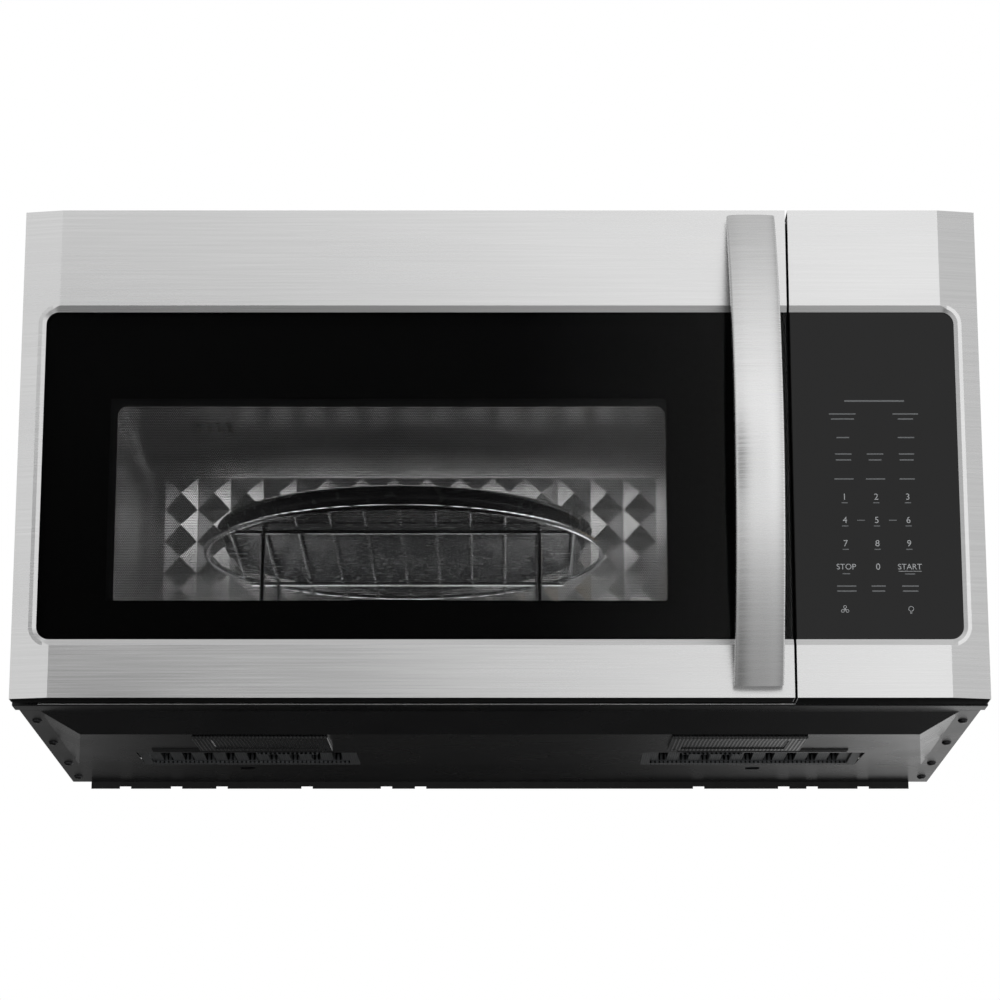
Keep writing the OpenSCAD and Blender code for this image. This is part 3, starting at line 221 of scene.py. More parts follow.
def zinc_plated_sheet(name="zinc_plated_sheet", painted_below=None):
    """Galvanised sheet: dull grey metal with crystals of 4 to 6 mm that differ slightly in sheen.

    With a height in millimetres, black paint covers the sheet below it.
    """
    sheen = 0.6
    made, tree, shader = begin(name, Metallic=sheen, Roughness=0.45)
    place = add(tree, "TexCoord").outputs["Object"]
    crystals = add(tree, "TexVoronoi", {"Vector": place, "Scale": 1 / (5 * MM), "Randomness": 1.0})
    tone = add(tree, "SeparateColor", {"Color": crystals.outputs["Color"]}).outputs[0]
    zinc = two_tone(tree, tone, "#a9acae", "#b2b5b7")
    feed(tree, shader, Roughness=between(tree, tone, 0.42, 0.49))
    if painted_below is None:
        feed(tree, shader, Base_Color=zinc)
        return made
    height = add(tree, "SeparateXYZ", {"Vector": place}).outputs["Z"]
    bare = maths(tree, "GREATER_THAN", height, painted_below * MM)
    coat = add(tree, "Mix", {"Factor": bare, "A": linear("#101011"), "B": zinc}, data_type="RGBA")
    feed(tree, shader, Base_Color=coat.outputs["Result"], Metallic=maths(tree, "MULTIPLY", bare, sheen))
    return made


def clear_float_glass():
    """Clear sheet glass with a thin dark coat: lets through most face-on, and less the flatter the view."""
    made, tree, shader = begin("clear_float_glass", Base_Color=DARK_COAT, Roughness=0.02, IOR=1.5)
    haze = noise(tree, 30, detail=2.0)
    turn = add(tree, "LayerWeight", {"Blend": 0.3})
    solid = add(tree, "MapRange", {"Value": turn.outputs["Fresnel"], "To Min": 0.1, "To Max": 0.9})
    feed(tree, shader, Roughness=between(tree, haze, 0.01, 0.035), Alpha=solid.outputs[0])
    return made


def door_glass_painted_reflection():
    """The door's outer pane: clear glass with a thin dark coat; towards the handle it grows less clear and
    more mirror-like, a painted reflection.
    """
    made, tree, shader = begin("door_glass_painted_reflection", Base_Color=DARK_COAT, Roughness=0.02, IOR=1.5,
                               Specular_IOR_Level=0.36)
    haze = noise(tree, 30, detail=2.0)
    place = add(tree, "TexCoord").outputs["Object"]
    across = add(tree, "SeparateXYZ", {"Vector": place}).outputs["X"]
    # Painted reflection: the pane is less clear and shinier the nearer it is to the handle.
    solid = add(tree, "MapRange", {"Value": across, "From Min": 0.02, "From Max": GLASS_HIGH.x * MM,
                                   "To Min": 0.04, "To Max": 0.3})
    feed(tree, shader, Roughness=between(tree, haze, 0.01, 0.035), Alpha=solid.outputs[0])
    return made


def black_printed_glass():
    """Glass with black ceramic print on its back: deep black under a clean reflection."""
    made, tree, shader = begin("black_printed_glass", Roughness=0.03, IOR=1.5, Specular_IOR_Level=0.26)
    haze = noise(tree, 35, detail=2.0)
    feed(tree, shader, Base_Color=two_tone(tree, haze, "#030303", "#050506"))
    feed(tree, shader, Roughness=between(tree, haze, 0.02, 0.05))
    return made


def ceramic_print():
    """Fired black print on the inner side of the door's pane: matt and even, with a faint mottle."""
    made, tree, shader = begin("ceramic_print", Roughness=0.9, Specular_IOR_Level=0.05)
    mottle = noise(tree, 4, detail=2.0)
    feed(tree, shader, Base_Color=two_tone(tree, mottle, "#010101", "#030303"))
    return made


def under_face_painted_shade():
    """Near-black, dull finish of the painted shade under the face, with fine dust of half a millimetre in
    it.
    """
    made, tree, shader = begin("under_face_painted_shade", Roughness=0.8, Specular_IOR_Level=0.08)
    dust = noise(tree, 0.5, detail=2.0)
    feed(tree, shader, Base_Color=two_tone(tree, dust, "#030303", "#060606"))
    feed(tree, shader, Roughness=between(tree, dust, 0.75, 0.85))
    return made


def perforated_screen():
    """Black-painted shielding sheet: round holes 1.1 mm wide on a staggered pitch of 1.5 mm."""
    pitch, hole_r = 1.5, 0.55
    made, tree, shader = begin("perforated_screen", Roughness=0.7, Specular_IOR_Level=0.1)
    place = add(tree, "TexCoord").outputs["Object"]
    apart = add(tree, "SeparateXYZ", {"Vector": place})
    away = []  # millimetres to the nearest middle of a hole, in the even rows and in the odd ones
    for shift in (0.0, 0.5):
        squares = []
        for axis, step in (("X", pitch), ("Z", pitch * math.sqrt(3))):
            cell = maths(tree, "MULTIPLY", apart.outputs[axis], 1 / (step * MM))
            part = maths(tree, "FRACT", maths(tree, "ADD", cell, shift))
            centred = maths(tree, "MULTIPLY", maths(tree, "SUBTRACT", part, 0.5), step)
            squares.append(maths(tree, "POWER", centred, 2.0))
        away.append(maths(tree, "SQRT", maths(tree, "ADD", *squares)))
    solid = maths(tree, "GREATER_THAN", maths(tree, "MINIMUM", *away), hole_r)
    cloud = noise(tree, 25, detail=1.0)
    feed(tree, shader, Base_Color=two_tone(tree, cloud, "#060606", "#0a0a0b"), Alpha=solid)
    return made


def black_abs():
    """Moulded black ABS: fine spark-eroded grain of 0.6 mm."""
    made, tree, shader = begin("black_abs", Roughness=0.5, IOR=1.53)
    grain = noise(tree, 0.6, detail=2.0)
    feed(tree, shader, Base_Color=two_tone(tree, grain, "#141415", "#1a1a1b"))
    feed(tree, shader, Roughness=between(tree, grain, 0.45, 0.58))
    relief(tree, shader, grain, 0.03)
    return made


def white_polypropylene():
    """Natural moulded polypropylene: milky, slightly waxy."""
    made, tree, shader = begin("white_polypropylene", Roughness=0.42, IOR=1.49, Subsurface_Weight=0.05)
    cloud = noise(tree, 12, detail=2.0)
    feed(tree, shader, Base_Color=two_tone(tree, cloud, "#d9d7cf", "#e4e3dc"))
    feed(tree, shader, Roughness=between(tree, cloud, 0.38, 0.48))
    return made


def aluminium_mesh():
    """Layers of expanded aluminium mesh: crossing strands every 3 mm over dark gaps, which are painted
    shade of the layers behind; the strands are painted darker than bare aluminium as shade.
    """
    made, tree, shader = begin("aluminium_mesh", Metallic=0.9, Roughness=0.38)
    place = add(tree, "TexCoord").outputs["Object"]
    waves = []
    for angle in (35, -35):
        laid = add(tree, "Mapping", {"Vector": place, "Rotation": (0, 0, math.radians(angle))})
        wave = add(tree, "TexWave", {"Vector": laid.outputs[0], "Scale": bands(3.0), "Distortion": 0.6})
        waves.append(wave.outputs["Fac"])
    strands = maths(tree, "MAXIMUM", *waves)
    # Painted shade: dark gaps, and strands darker than bare aluminium.
    feed(tree, shader, Base_Color=two_tone(tree, strands, "#161617", "#77797b", reach=(0.5, 0.85)))
    relief(tree, shader, strands, 0.5)
    return made


def carbon_granules():
    """Activated carbon in a paper frame: matt black grains of about 2 mm, with painted shade where they
    meet.
    """
    made, tree, shader = begin("carbon_granules", Roughness=0.8)
    place = add(tree, "TexCoord").outputs["Object"]
    grains = add(tree, "TexVoronoi", {"Vector": place, "Scale": 1 / (2.2 * MM)})
    tone = grains.outputs["Distance"]
    # Painted shade: each grain is lighter in its middle and darker towards its edges.
    feed(tree, shader, Base_Color=two_tone(tree, tone, "#1d1d1d", "#0d0d0d"))
    relief(tree, shader, tone, 0.8)
    return made


def ribbed_lamp_glass():
    """Pressed lamp lens: frosted glass with ribs 3 mm apart across its length, coloured near black as
    painted shade of the unlit lamp behind it.
    """
    made, tree, shader = begin("ribbed_lamp_glass", Roughness=0.22, IOR=1.5)
    place = add(tree, "TexCoord").outputs["Object"]
    ribs = add(tree, "TexWave", {"Vector": place, "Scale": bands(3.0)}, bands_direction="X")
    cloud = noise(tree, 20, detail=1.0)
    # Painted shade: the lens is coloured near black.
    feed(tree, shader, Base_Color=two_tone(tree, cloud, "#131415", "#1c1d1e"))
    feed(tree, shader, Roughness=between(tree, ribs.outputs["Fac"], 0.18, 0.32))
    relief(tree, shader, ribs.outputs["Fac"], 0.05)
    return made


def mica_sheet():
    """Pressed mica: tan, with silvery flakes of 4 mm."""
    made, tree, shader = begin("mica_sheet", Roughness=0.45, IOR=1.58)
    place = add(tree, "TexCoord").outputs["Object"]
    flakes = add(tree, "TexVoronoi", {"Vector": place, "Scale": 1 / (4 * MM)})
    tone = add(tree, "SeparateColor", {"Color": flakes.outputs["Color"]}).outputs[0]
    feed(tree, shader, Base_Color=two_tone(tree, tone, "#a3937b", "#c1b49c"))
    feed(tree, shader, Roughness=between(tree, tone, 0.3, 0.55))
    return made


def chromed_wire():
    """Chrome-plated steel wire: bright, with faint drawing marks along it."""
    made, tree, shader = begin("chromed_wire", Metallic=1.0, Roughness=0.12)
    marks = noise(tree, 2.5, detail=2.0)
    feed(tree, shader, Base_Color=two_tone(tree, marks, "#c4c5c6", "#d4d5d6"))
    feed(tree, shader, Roughness=between(tree, marks, 0.08, 0.2))
    return made


def dark_porcelain_enamel():
    """Porcelain enamel on the tray: near black, glossy, with tiny pale specks."""
    made, tree, shader = begin("dark_porcelain_enamel", Roughness=0.22, IOR=1.52)
    specks = noise(tree, 0.9, detail=1.0)
    feed(tree, shader, Base_Color=two_tone(tree, specks, "#242527", "#4e5053", reach=(0.66, 0.72)))
    feed(tree, shader, Roughness=between(tree, noise(tree, 9), 0.18, 0.3))
    return made


def copper_and_core():
    """Lacquered copper windings on a laminated core: brown sheen with stripes of 1 mm laminations."""
    made, tree, shader = begin("copper_and_core", Metallic=0.7, Roughness=0.4)
    layers = noise(tree, 1.0, stretch=(40, 1, 40), detail=2.0)
    feed(tree, shader, Base_Color=two_tone(tree, layers, "#5b3b26", "#7d5a41"))
    feed(tree, shader, Roughness=between(tree, layers, 0.3, 0.5))
    relief(tree, shader, layers, 0.1)
    return made


def pressed_motor_steel():
    """Plated steel of motor cans, screws and hinges: grey, with light handling marks."""
    made, tree, shader = begin("pressed_motor_steel", Metallic=1.0, Roughness=0.35)
    marks = noise(tree, 5, detail=4.0)
    feed(tree, shader, Base_Color=two_tone(tree, marks, "#8f9193", "#a6a8aa"))
    feed(tree, shader, Roughness=between(tree, marks, 0.28, 0.45))
    return made


def screw_steel_painted_shade():
    """Screw steel coloured dark as painted shade, with random lighter patches as if rubbed to bare metal.
    """
    made, tree, shader = begin("screw_steel_painted_shade", Metallic=1.0, Roughness=0.3)
    rubbed = noise(tree, 1.5, detail=3.0)
    # Painted shade: the screw heads are coloured dark.
    feed(tree, shader, Base_Color=two_tone(tree, rubbed, "#232324", "#4a4a4c"))
    feed(tree, shader, Roughness=between(tree, rubbed, 0.24, 0.4))
    return made


def circuit_board():
    """Green solder mask with paler tracks on a grid of 1.25 by 0.6 mm."""
    made, tree, shader = begin("circuit_board", Roughness=0.35, IOR=1.5)
    place = add(tree, "TexCoord").outputs["Object"]
    tracks = add(tree, "TexBrick", {"Vector": place, "Scale": 1 / (2.5 * MM), "Color1": linear("#1c4a2c"),
                                    "Color2": linear("#235736"), "Mortar": linear("#2f6b45"),
                                    "Mortar Size": 0.04})
    feed(tree, shader, Base_Color=tracks.outputs["Color"])
    feed(tree, shader, Roughness=between(tree, noise(tree, 3), 0.28, 0.42))
    return made


def frosted_bulb():
    """Etched bulb glass and its ceramic socket: warm white and matt."""
    made, tree, shader = begin("frosted_bulb", Roughness=0.5)
    cloud = noise(tree, 6, detail=2.0)
    feed(tree, shader, Base_Color=two_tone(tree, cloud, "#d8d2c0", "#e9e5d8"))
    feed(tree, shader, Roughness=between(tree, cloud, 0.42, 0.56))
    return made


def silk_screen_print(name, first, second):
    """Screen-printed grey ink of the touch marks: matt, slightly uneven in its thickness."""
    made, tree, shader = begin(name, Roughness=0.6)
    ink = noise(tree, 1.2, detail=2.0)
    feed(tree, shader, Base_Color=two_tone(tree, ink, first, second))
    return made


# The finish of each material slot of the record
FINISHES = {
    "stainless": brushed_stainless(),
    "cavity_steel": cavity_steel(),
    "black_paint": satin_black_enamel(),
    "zinc_sheet": zinc_plated_sheet(),
    "black_glass": black_printed_glass(),
    "clear_glass": clear_float_glass(),
    "black_plastic": black_abs(),
    "white_plastic": white_polypropylene(),
    "aluminium_mesh": aluminium_mesh(),
    "carbon": carbon_granules(),
    "lens": ribbed_lamp_glass(),
    "mica": mica_sheet(),
    "chrome_wire": chromed_wire(),
    "dark_enamel": dark_porcelain_enamel(),
    "copper_core": copper_and_core(),
    "motor_steel": pressed_motor_steel(),
    "circuit": circuit_board(),
    "lamp_glass": frosted_bulb(),
}

# Finishes of single pieces
HANDLE_STEEL = brushed_handle_steel()
SCREW_STEEL = screw_steel_painted_shade()
DOOR_PANE = door_glass_painted_reflection()
PRINT = ceramic_print()
UNDER_FACE_SHADE = under_face_painted_shade()
SCREEN = perforated_screen()
INK = silk_screen_print("pale_silk_screen_ink", "#a0a2a4", "#b9bbbd")
FAINT_INK = silk_screen_print("faint_silk_screen_ink", "#636567", "#77797b")
BACK_PLATE = zinc_plated_sheet("zinc_back_plate_with_black_lip", painted_below=2.0)
NODE_FINISH = {"window_mesh": SCREEN, "back_panel": BACK_PLATE}
NODE_SLOT = {part["node"]: part["material_slot"] for part in frame["record"]["subparts"]}


def dress_frame():
    """Gives every CAD node its own finish, or that of its slot in the record."""
    for name, node in frame["nodes"].items():
        finish = NODE_FINISH.get(name) or FINISHES[NODE_SLOT[name]]
        for slot in node.material_slots:
            slot.material = finish


# Making pieces

WIRE_SIDES = 12


def verts_of(geometry):
    """The vertices among what an operator gives back."""
    return [item for item in geometry if isinstance(item, bmesh.types.BMVert)]


def upright(x, y, z):
    """Stands a flat shape up to face the front, its middle on a point."""
    return Matrix.Translation((x, y, z)) @ Matrix.Rotation(math.radians(90), 4, "X")


def piece(bm, name, body, slot, finish=None, replaces=(), sharp=32):
    """Turns a mesh drawn in millimetres into a named piece with a slot's finish, riding on a body.

    Edges that turn by more than sharp degrees stay sharp. With an angle of 0, the mesh brings its own.
    """
    bmesh.ops.scale(bm, vec=(MM, MM, MM), verts=bm.verts)
    for face in bm.faces:
        face.smooth = True
    mesh = bpy.data.meshes.new(name)
    bm.to_mesh(mesh)
    bm.free()
    if "custom_normal" in mesh.attributes:  # a copied CAD mesh brings its own shading along
        mesh.attributes.remove(mesh.attributes["custom_normal"])
    if sharp:
        mesh.set_sharp_from_angle(angle=math.radians(sharp))
    mesh.materials.append(finish or FINISHES[slot])
    made = bpy.data.objects.new(name, mesh)
    bpy.context.scene.collection.objects.link(made)
    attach(made, body)
    if replaces:
        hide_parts(*replaces)
    return made


def even_normals(made):
    """Keeps flat faces flat beside their small rounded edges."""
    made.modifiers.new("even_normals", "WEIGHTED_NORMAL").keep_sharp = True
    return made


FOLD = 20  # degrees past which a fold of the sheet shows as a line
FLAT_FOLD = 9.7  # the same beside a face that is wider than WIDE square millimetres
WIDE_FOLD, WIDE = 4, 100  # the same between two such faces
ROUND_FOLD = 48  # the same on a rounded edge
ROUNDED = 40  # degrees past which an edge is rounded
ROOM = 2.2  # where all edges at its ends are more than this many radii long
SAME_PLANE = 0.5  # degrees up to which faces are one


def eased(node, radius, finish=None, fold=FOLD):
    """Stands in for a CAD node with its own shape, clean creases and, with a radius, rounded edges."""
    source = frame["nodes"][node]
    bm = bmesh.new()
    bm.from_mesh(source.data)
    bmesh.ops.scale(bm, vec=(1 / MM, 1 / MM, 1 / MM), verts=bm.verts)
    bmesh.ops.remove_doubles(bm, verts=bm.verts, dist=CAD_WELD)
    bmesh.ops.dissolve_limit(bm, angle_limit=math.radians(SAME_PLANE), verts=bm.verts, edges=bm.edges)
    rounds = set()
    if radius:
        roomy = {v for v in bm.verts if all(e.calc_length() > ROOM * radius for e in v.link_edges)}
        edges = [e for e in bm.edges if len(e.link_faces) == 2 and all(v in roomy for v in e.verts)
                 and e.calc_face_angle() > math.radians(ROUNDED)]
        bevelled = bmesh.ops.bevel(bm, geom=edges, offset=radius, offset_type="OFFSET", segments=2,
                                   profile=0.5, affect="EDGES", clamp_overlap=True, material=-1)
        rounds = set(bevelled["faces"])
    for edge in bm.edges:
        if len(edge.link_faces) != 2:
            continue
        wide = [face.calc_area() > WIDE for face in edge.link_faces]
        if any(face in rounds for face in edge.link_faces):
            least = ROUND_FOLD
        else:
            least = WIDE_FOLD if all(wide) else FLAT_FOLD if any(wide) else fold
        edge.smooth = edge.calc_face_angle() < math.radians(least)
    made = piece(bm, node + "_finished", source["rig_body"], NODE_SLOT[node],
                 finish=finish or source.material_slots[0].material, replaces=(node,), sharp=0)
    return even_normals(made)


def slab(bm, low, high):
    """A box between two corners."""
    low, high = Vector(low), Vector(high)
    place = Matrix.Translation((low + high) / 2) @ Matrix.Diagonal((*(high - low), 1))
    bmesh.ops.create_cube(bm, size=1, matrix=place)


def rod(bm, start, end, radius):
    """A round rod between two points."""
    start, end = Vector(start), Vector(end)
    along = end - start
    place = Matrix.Translation((start + end) / 2) @ along.to_track_quat("Z", "Y").to_matrix().to_4x4()
    bmesh.ops.create_cone(bm, cap_ends=True, segments=WIRE_SIDES, radius1=radius, radius2=radius,
                          depth=along.length, matrix=place)


def wire(bm, points, radius):
    """A round wire along a list of points, its bends mitred, its ends closed."""
    points = [Vector(p) for p in points]
    first = (points[1] - points[0]).normalized()
    place = Matrix.Translation(points[0]) @ first.to_track_quat("Z", "Y").to_matrix().to_4x4()
    circle = bmesh.ops.create_circle(bm, cap_ends=True, segments=WIRE_SIDES, radius=radius, matrix=place)
    ring = circle["verts"]
    heading = first
    for i in range(1, len(points)):
        ahead = (points[i + 1] - points[i]).normalized() if i + 1 < len(points) else heading
        cut = (heading + ahead).normalized()
        edges = [e for e in {e for v in ring for e in v.link_edges} if all(v in ring for v in e.verts)]
        fresh = verts_of(bmesh.ops.extrude_edge_only(bm, edges=edges)["geom"])
        for v in fresh:
            # Slide each point along the stretch until it lies on the mitre plane.
            v.co += heading * ((points[i] - v.co).dot(cut) / heading.dot(cut))
        ring, heading = fresh, ahead
    edges = [e for e in {e for v in ring for e in v.link_edges} if all(v in ring for v in e.verts)]
    bmesh.ops.contextual_create(bm, geom=edges)


def turned(bm, profile, x, y, steps):
    """A turned form: the profile's (radius, height) points spun a full turn round an upright axis."""
    verts = [bm.verts.new((x + r, y, h)) for r, h in profile]
    edges = [bm.edges.new((a, b)) for a, b in zip(verts, verts[1:])]
    bmesh.ops.spin(bm, geom=verts + edges, cent=(x, y, 0), axis=UP, angle=2 * math.pi, steps=steps,
                   use_merge=True, use_duplicate=False)
    bmesh.ops.remove_doubles(bm, verts=bm.verts, dist=WELD)
    bmesh.ops.recalc_face_normals(bm, faces=bm.faces)


# Door and control face

PRINT_WINDOW = (-306.7, 79.0, 130.9, 242.2)  # clear part of the door's print: left, low, right, high
PRINT_T = 0.1
PRINT_INSET = 0.8
PRINT_CORNER, WINDOW_CORNER = 10, 2.5


def door_print():
    """Black ceramic print inside the back of the door glass, left clear over the window."""
    y = GLASS_BACK - 2 * PRINT_T
    bm = bmesh.new()

    def corners(x0, z0, x1, z1):
        return [bm.verts.new((x, y, z)) for x, z in ((x0, z0), (x1, z0), (x1, z1), (x0, z1))]

    outer = corners(GLASS_LOW.x + PRINT_INSET, GLASS_LOW.z + PRINT_INSET,
                    GLASS_HIGH.x - PRINT_INSET, GLASS_HIGH.z - PRINT_INSET)
    inner = corners(*PRINT_WINDOW)
    for i in range(4):
        j = (i + 1) % 4
        bm.faces.new((outer[i], outer[j], inner[j], inner[i]))
    bmesh.ops.bevel(bm, geom=[outer[0], outer[3]], offset=PRINT_CORNER, segments=6, profile=0.5,
                    affect="VERTICES", material=-1)
    bmesh.ops.bevel(bm, geom=[v for v in bm.verts if v in inner], offset=WINDOW_CORNER, segments=4,
                    profile=0.5, affect="VERTICES", material=-1)
    walls = bmesh.ops.extrude_face_region(bm, geom=bm.faces[:])["geom"]
    bmesh.ops.translate(bm, vec=(0, PRINT_T, 0), verts=verts_of(walls))
    bmesh.ops.recalc_face_normals(bm, faces=bm.faces)
    return piece(bm, "door_print", "door", "black_glass", finish=PRINT)


END_SLOPE_W, END_SLOPE_D = 30.0, 5.5  # how the face falls back at both ends
SHADE_STRIP_T = 0.35
SHADE_STRIP_INSET = 0.6


def bottom_shade_strip(name, body, low, high, slope_left, slope_right):
    """Near-black strip of painted shade along the underside of the face; its front edge follows the face's
    sloped end.
    """
    front = low.y + SHADE_STRIP_INSET
    left, right = low.x + SHADE_STRIP_INSET, high.x - SHADE_STRIP_INSET
    outline = [(left, high.y), (right, high.y)]
    if slope_right:
        outline += [(right, front + END_SLOPE_D), (right - END_SLOPE_W, front)]
    else:
        outline += [(right, front)]
    if slope_left:
        outline += [(left + END_SLOPE_W, front), (left, front + END_SLOPE_D)]
    else:
        outline += [(left, front)]
    bm = bmesh.new()
    face = bm.faces.new([bm.verts.new((x, y, low.z + SHADE_STRIP_T)) for x, y in outline])
    grown = bmesh.ops.extrude_face_region(bm, geom=[face])["geom"]
    bmesh.ops.translate(bm, vec=(0, 0, -2 * SHADE_STRIP_T), verts=verts_of(grown))
    bmesh.ops.recalc_face_normals(bm, faces=bm.faces)
    edges = [e for e in bm.edges if all(v.co.z < low.z for v in e.verts)]
    bmesh.ops.bevel(bm, geom=edges, offset=SHADE_STRIP_T / 2, segments=2, profile=0.5, affect="EDGES",
                    material=-1)
    return piece(bm, name, body, "black_paint", finish=UNDER_FACE_SHADE, sharp=50)


EDGING_LOW, EDGING_HIGH = 1.1, 2.2
EDGING_PROUD, EDGING_BURIED = 0.35, 0.1  # how far it stands out of the frame, and how deep in it
EDGING_ROUND = 0.12
CLEAR_OF_HINGE, CLEAR_OF_CORNER = 20, 7


def frame_bright_edge():
    """Stainless edging of the front frame's lower fold: the thin bright line under the face."""
    low, high = box_mm("front_frame")
    bm = bmesh.new()
    slab(bm, (low.x + CLEAR_OF_HINGE, low.y - EDGING_PROUD, EDGING_LOW),
         (high.x - CLEAR_OF_CORNER, low.y + EDGING_BURIED, EDGING_HIGH))
    edges = [e for e in bm.edges if all(v.co.y < low.y for v in e.verts)]
    bmesh.ops.bevel(bm, geom=edges, offset=EDGING_ROUND, segments=2, profile=0.5, affect="EDGES",
                    material=-1)
    return piece(bm, "frame_bright_edge", "case", "stainless", sharp=50)


# Marks of the touch panel: the three columns of keys across, and the rows of digits down
COLUMNS = (269.2, 294.0, 318.7)
DIGIT_PITCH = 18.7
DIGIT_ROWS = [161.0 - row * DIGIT_PITCH for row in range(4)]
DIGIT_H, WORD_H = 5.2, 4.6
CAPITAL = 0.72  # height of the font's capitals as a share of its size
SIGN_Z = 71.0
INK_T, INK_PROUD = 0.03, 0.04

# Bars of the words above and below the digits: height on the panel, half length at each column
WORD_ROWS = (
    (228.4, (10.5, 0, 10)),
    (224.3, (9, 0, 6)),
    (209.2, (5, 0, 6.5)),
    (195.8, (6.5, 6.5, 6)),
    (191.0, (6, 5, 5.5)),
    (175.6, (7.5, 7.5, 6)),
    (89.7, (7.5, 5.5, 6.5)),
    (85.7, (7.5, 5, 6)),
)


def text_mesh(words, height, centre_x, centre_z):
    """Generic lettering as a flat mesh, centred on a point of the touch glass."""
    curve = bpy.data.curves.new("words", "FONT")
    curve.body = words
    curve.align_x = "CENTER"
    curve.align_y = "CENTER"
    curve.size = height / CAPITAL
    holder = bpy.data.objects.new("words", curve)
    bpy.context.scene.collection.objects.link(holder)
    bpy.context.view_layer.update()
    mesh = bpy.data.meshes.new_from_object(holder)
    bpy.data.objects.remove(holder)
    mesh.transform(upright(centre_x, 0, centre_z))
    return mesh


def bar(bm, x0, x1, z, height):
    """A plain printed bar."""
    slab(bm, (x0, 0, z - height / 2), (x1, INK_T, z + height / 2))


def bars(bm, z, halves, height):
    """A row of bars in the middle of the columns, with none where the half length is 0."""
    for x, half in zip(COLUMNS, halves):
        if half:
            bar(bm, x - half, x + half, z, height)


def printed(bm, name, ink):
    """Turns marks drawn at y = 0 into print on the touch glass."""
    bmesh.ops.translate(bm, vec=(0, GLASS_Y - INK_PROUD, 0), verts=bm.verts)
    return piece(bm, name, "case", "white_plastic", finish=ink)


def control_marks():
    """Digits, start and stop, and a fan and a lamp sign."""
    bm = bmesh.new()
    left, mid, right = COLUMNS
    for z, keys in zip(DIGIT_ROWS, ("123", "456", "789")):
        for x, key in zip(COLUMNS, keys):
            bm.from_mesh(text_mesh(key, DIGIT_H, x, z))
    last = DIGIT_ROWS[-1]
    bm.from_mesh(text_mesh("0", DIGIT_H, mid, last))
    bm.from_mesh(text_mesh("STOP", WORD_H, left, last))
    bm.from_mesh(text_mesh("START", WORD_H, right, last))
    bars(bm, last - 3.4, (0, 0, 9), 0.35)
    fan_sign(bm, left - 1.7, SIGN_Z)
    lamp_sign(bm, right, SIGN_Z - 0.2)
    return printed(bm, "control_marks", INK)


def control_words():
    """Plain bars in a fainter ink, which stand where the words of the keys would be."""
    bm = bmesh.new()
    left, mid = COLUMNS[:2]
    for z in DIGIT_ROWS[:3]:
        bars(bm, z - 4.6, (2.4, 2.4, 2.4), 0.8)
    bars(bm, DIGIT_ROWS[3] - 5.4, (3, 0, 0), 0.8)
    bars(bm, DIGIT_ROWS[3] - 5.6, (0, 0, 4), 0.8)
    for x in (left + 12.5, mid + 12.5):  # between the keys of the second row of digits
        bar(bm, x - 3, x + 3, DIGIT_ROWS[1], 0.7)
    bar(bm, mid - 23, mid + 24, 239.0, 1.3)
    for z, halves in WORD_ROWS:
        bars(bm, z, halves, 1.0)
    return printed(bm, "control_words", FAINT_INK)


def disc(bm, x, z, radius, hole=0.0, segments=28):
    """A flat printed disc or ring."""
    stand = upright(x, 0, z)
    if not hole:
        bmesh.ops.create_circle(bm, cap_ends=True, segments=segments, radius=radius, matrix=stand)
        return
    outer = bmesh.ops.create_circle(bm, segments=segments, radius=radius, matrix=stand)["verts"]
    inner = bmesh.ops.create_circle(bm, segments=segments, radius=hole, matrix=stand)["verts"]
    edges = {e for v in outer + inner for e in v.link_edges}
    bmesh.ops.bridge_loops(bm, edges=list(edges))


def fan_sign(bm, x, z):
    """A generic three-bladed fan: three rings round a dot."""
    disc(bm, x, z, 0.7)
    reach = 2.1
    for turn in (90, 210, 330):
        a = math.radians(turn)
        disc(bm, x + reach * math.cos(a), z + reach * math.sin(a), 1.35, hole=0.9, segments=18)


def lamp_sign(bm, x, z):
    """A generic light bulb: a ring over a short stem."""
    disc(bm, x, z + 0.8, 2.1, hole=1.7)
    bar(bm, x - 0.9, x + 0.9, z - 1.9, 0.4)
    bar(bm, x - 0.7, x + 0.7, z - 2.8, 0.4)


# Handle

HANDLE_BOW = 50
HANDLE_T = 12
HANDLE_EDGE = 1.6
HANDLE_CROWN = 1.1  # how far the front falls back at its sides
CROWN_POWER = 3.5  # the higher, the nearer to the sides it starts to


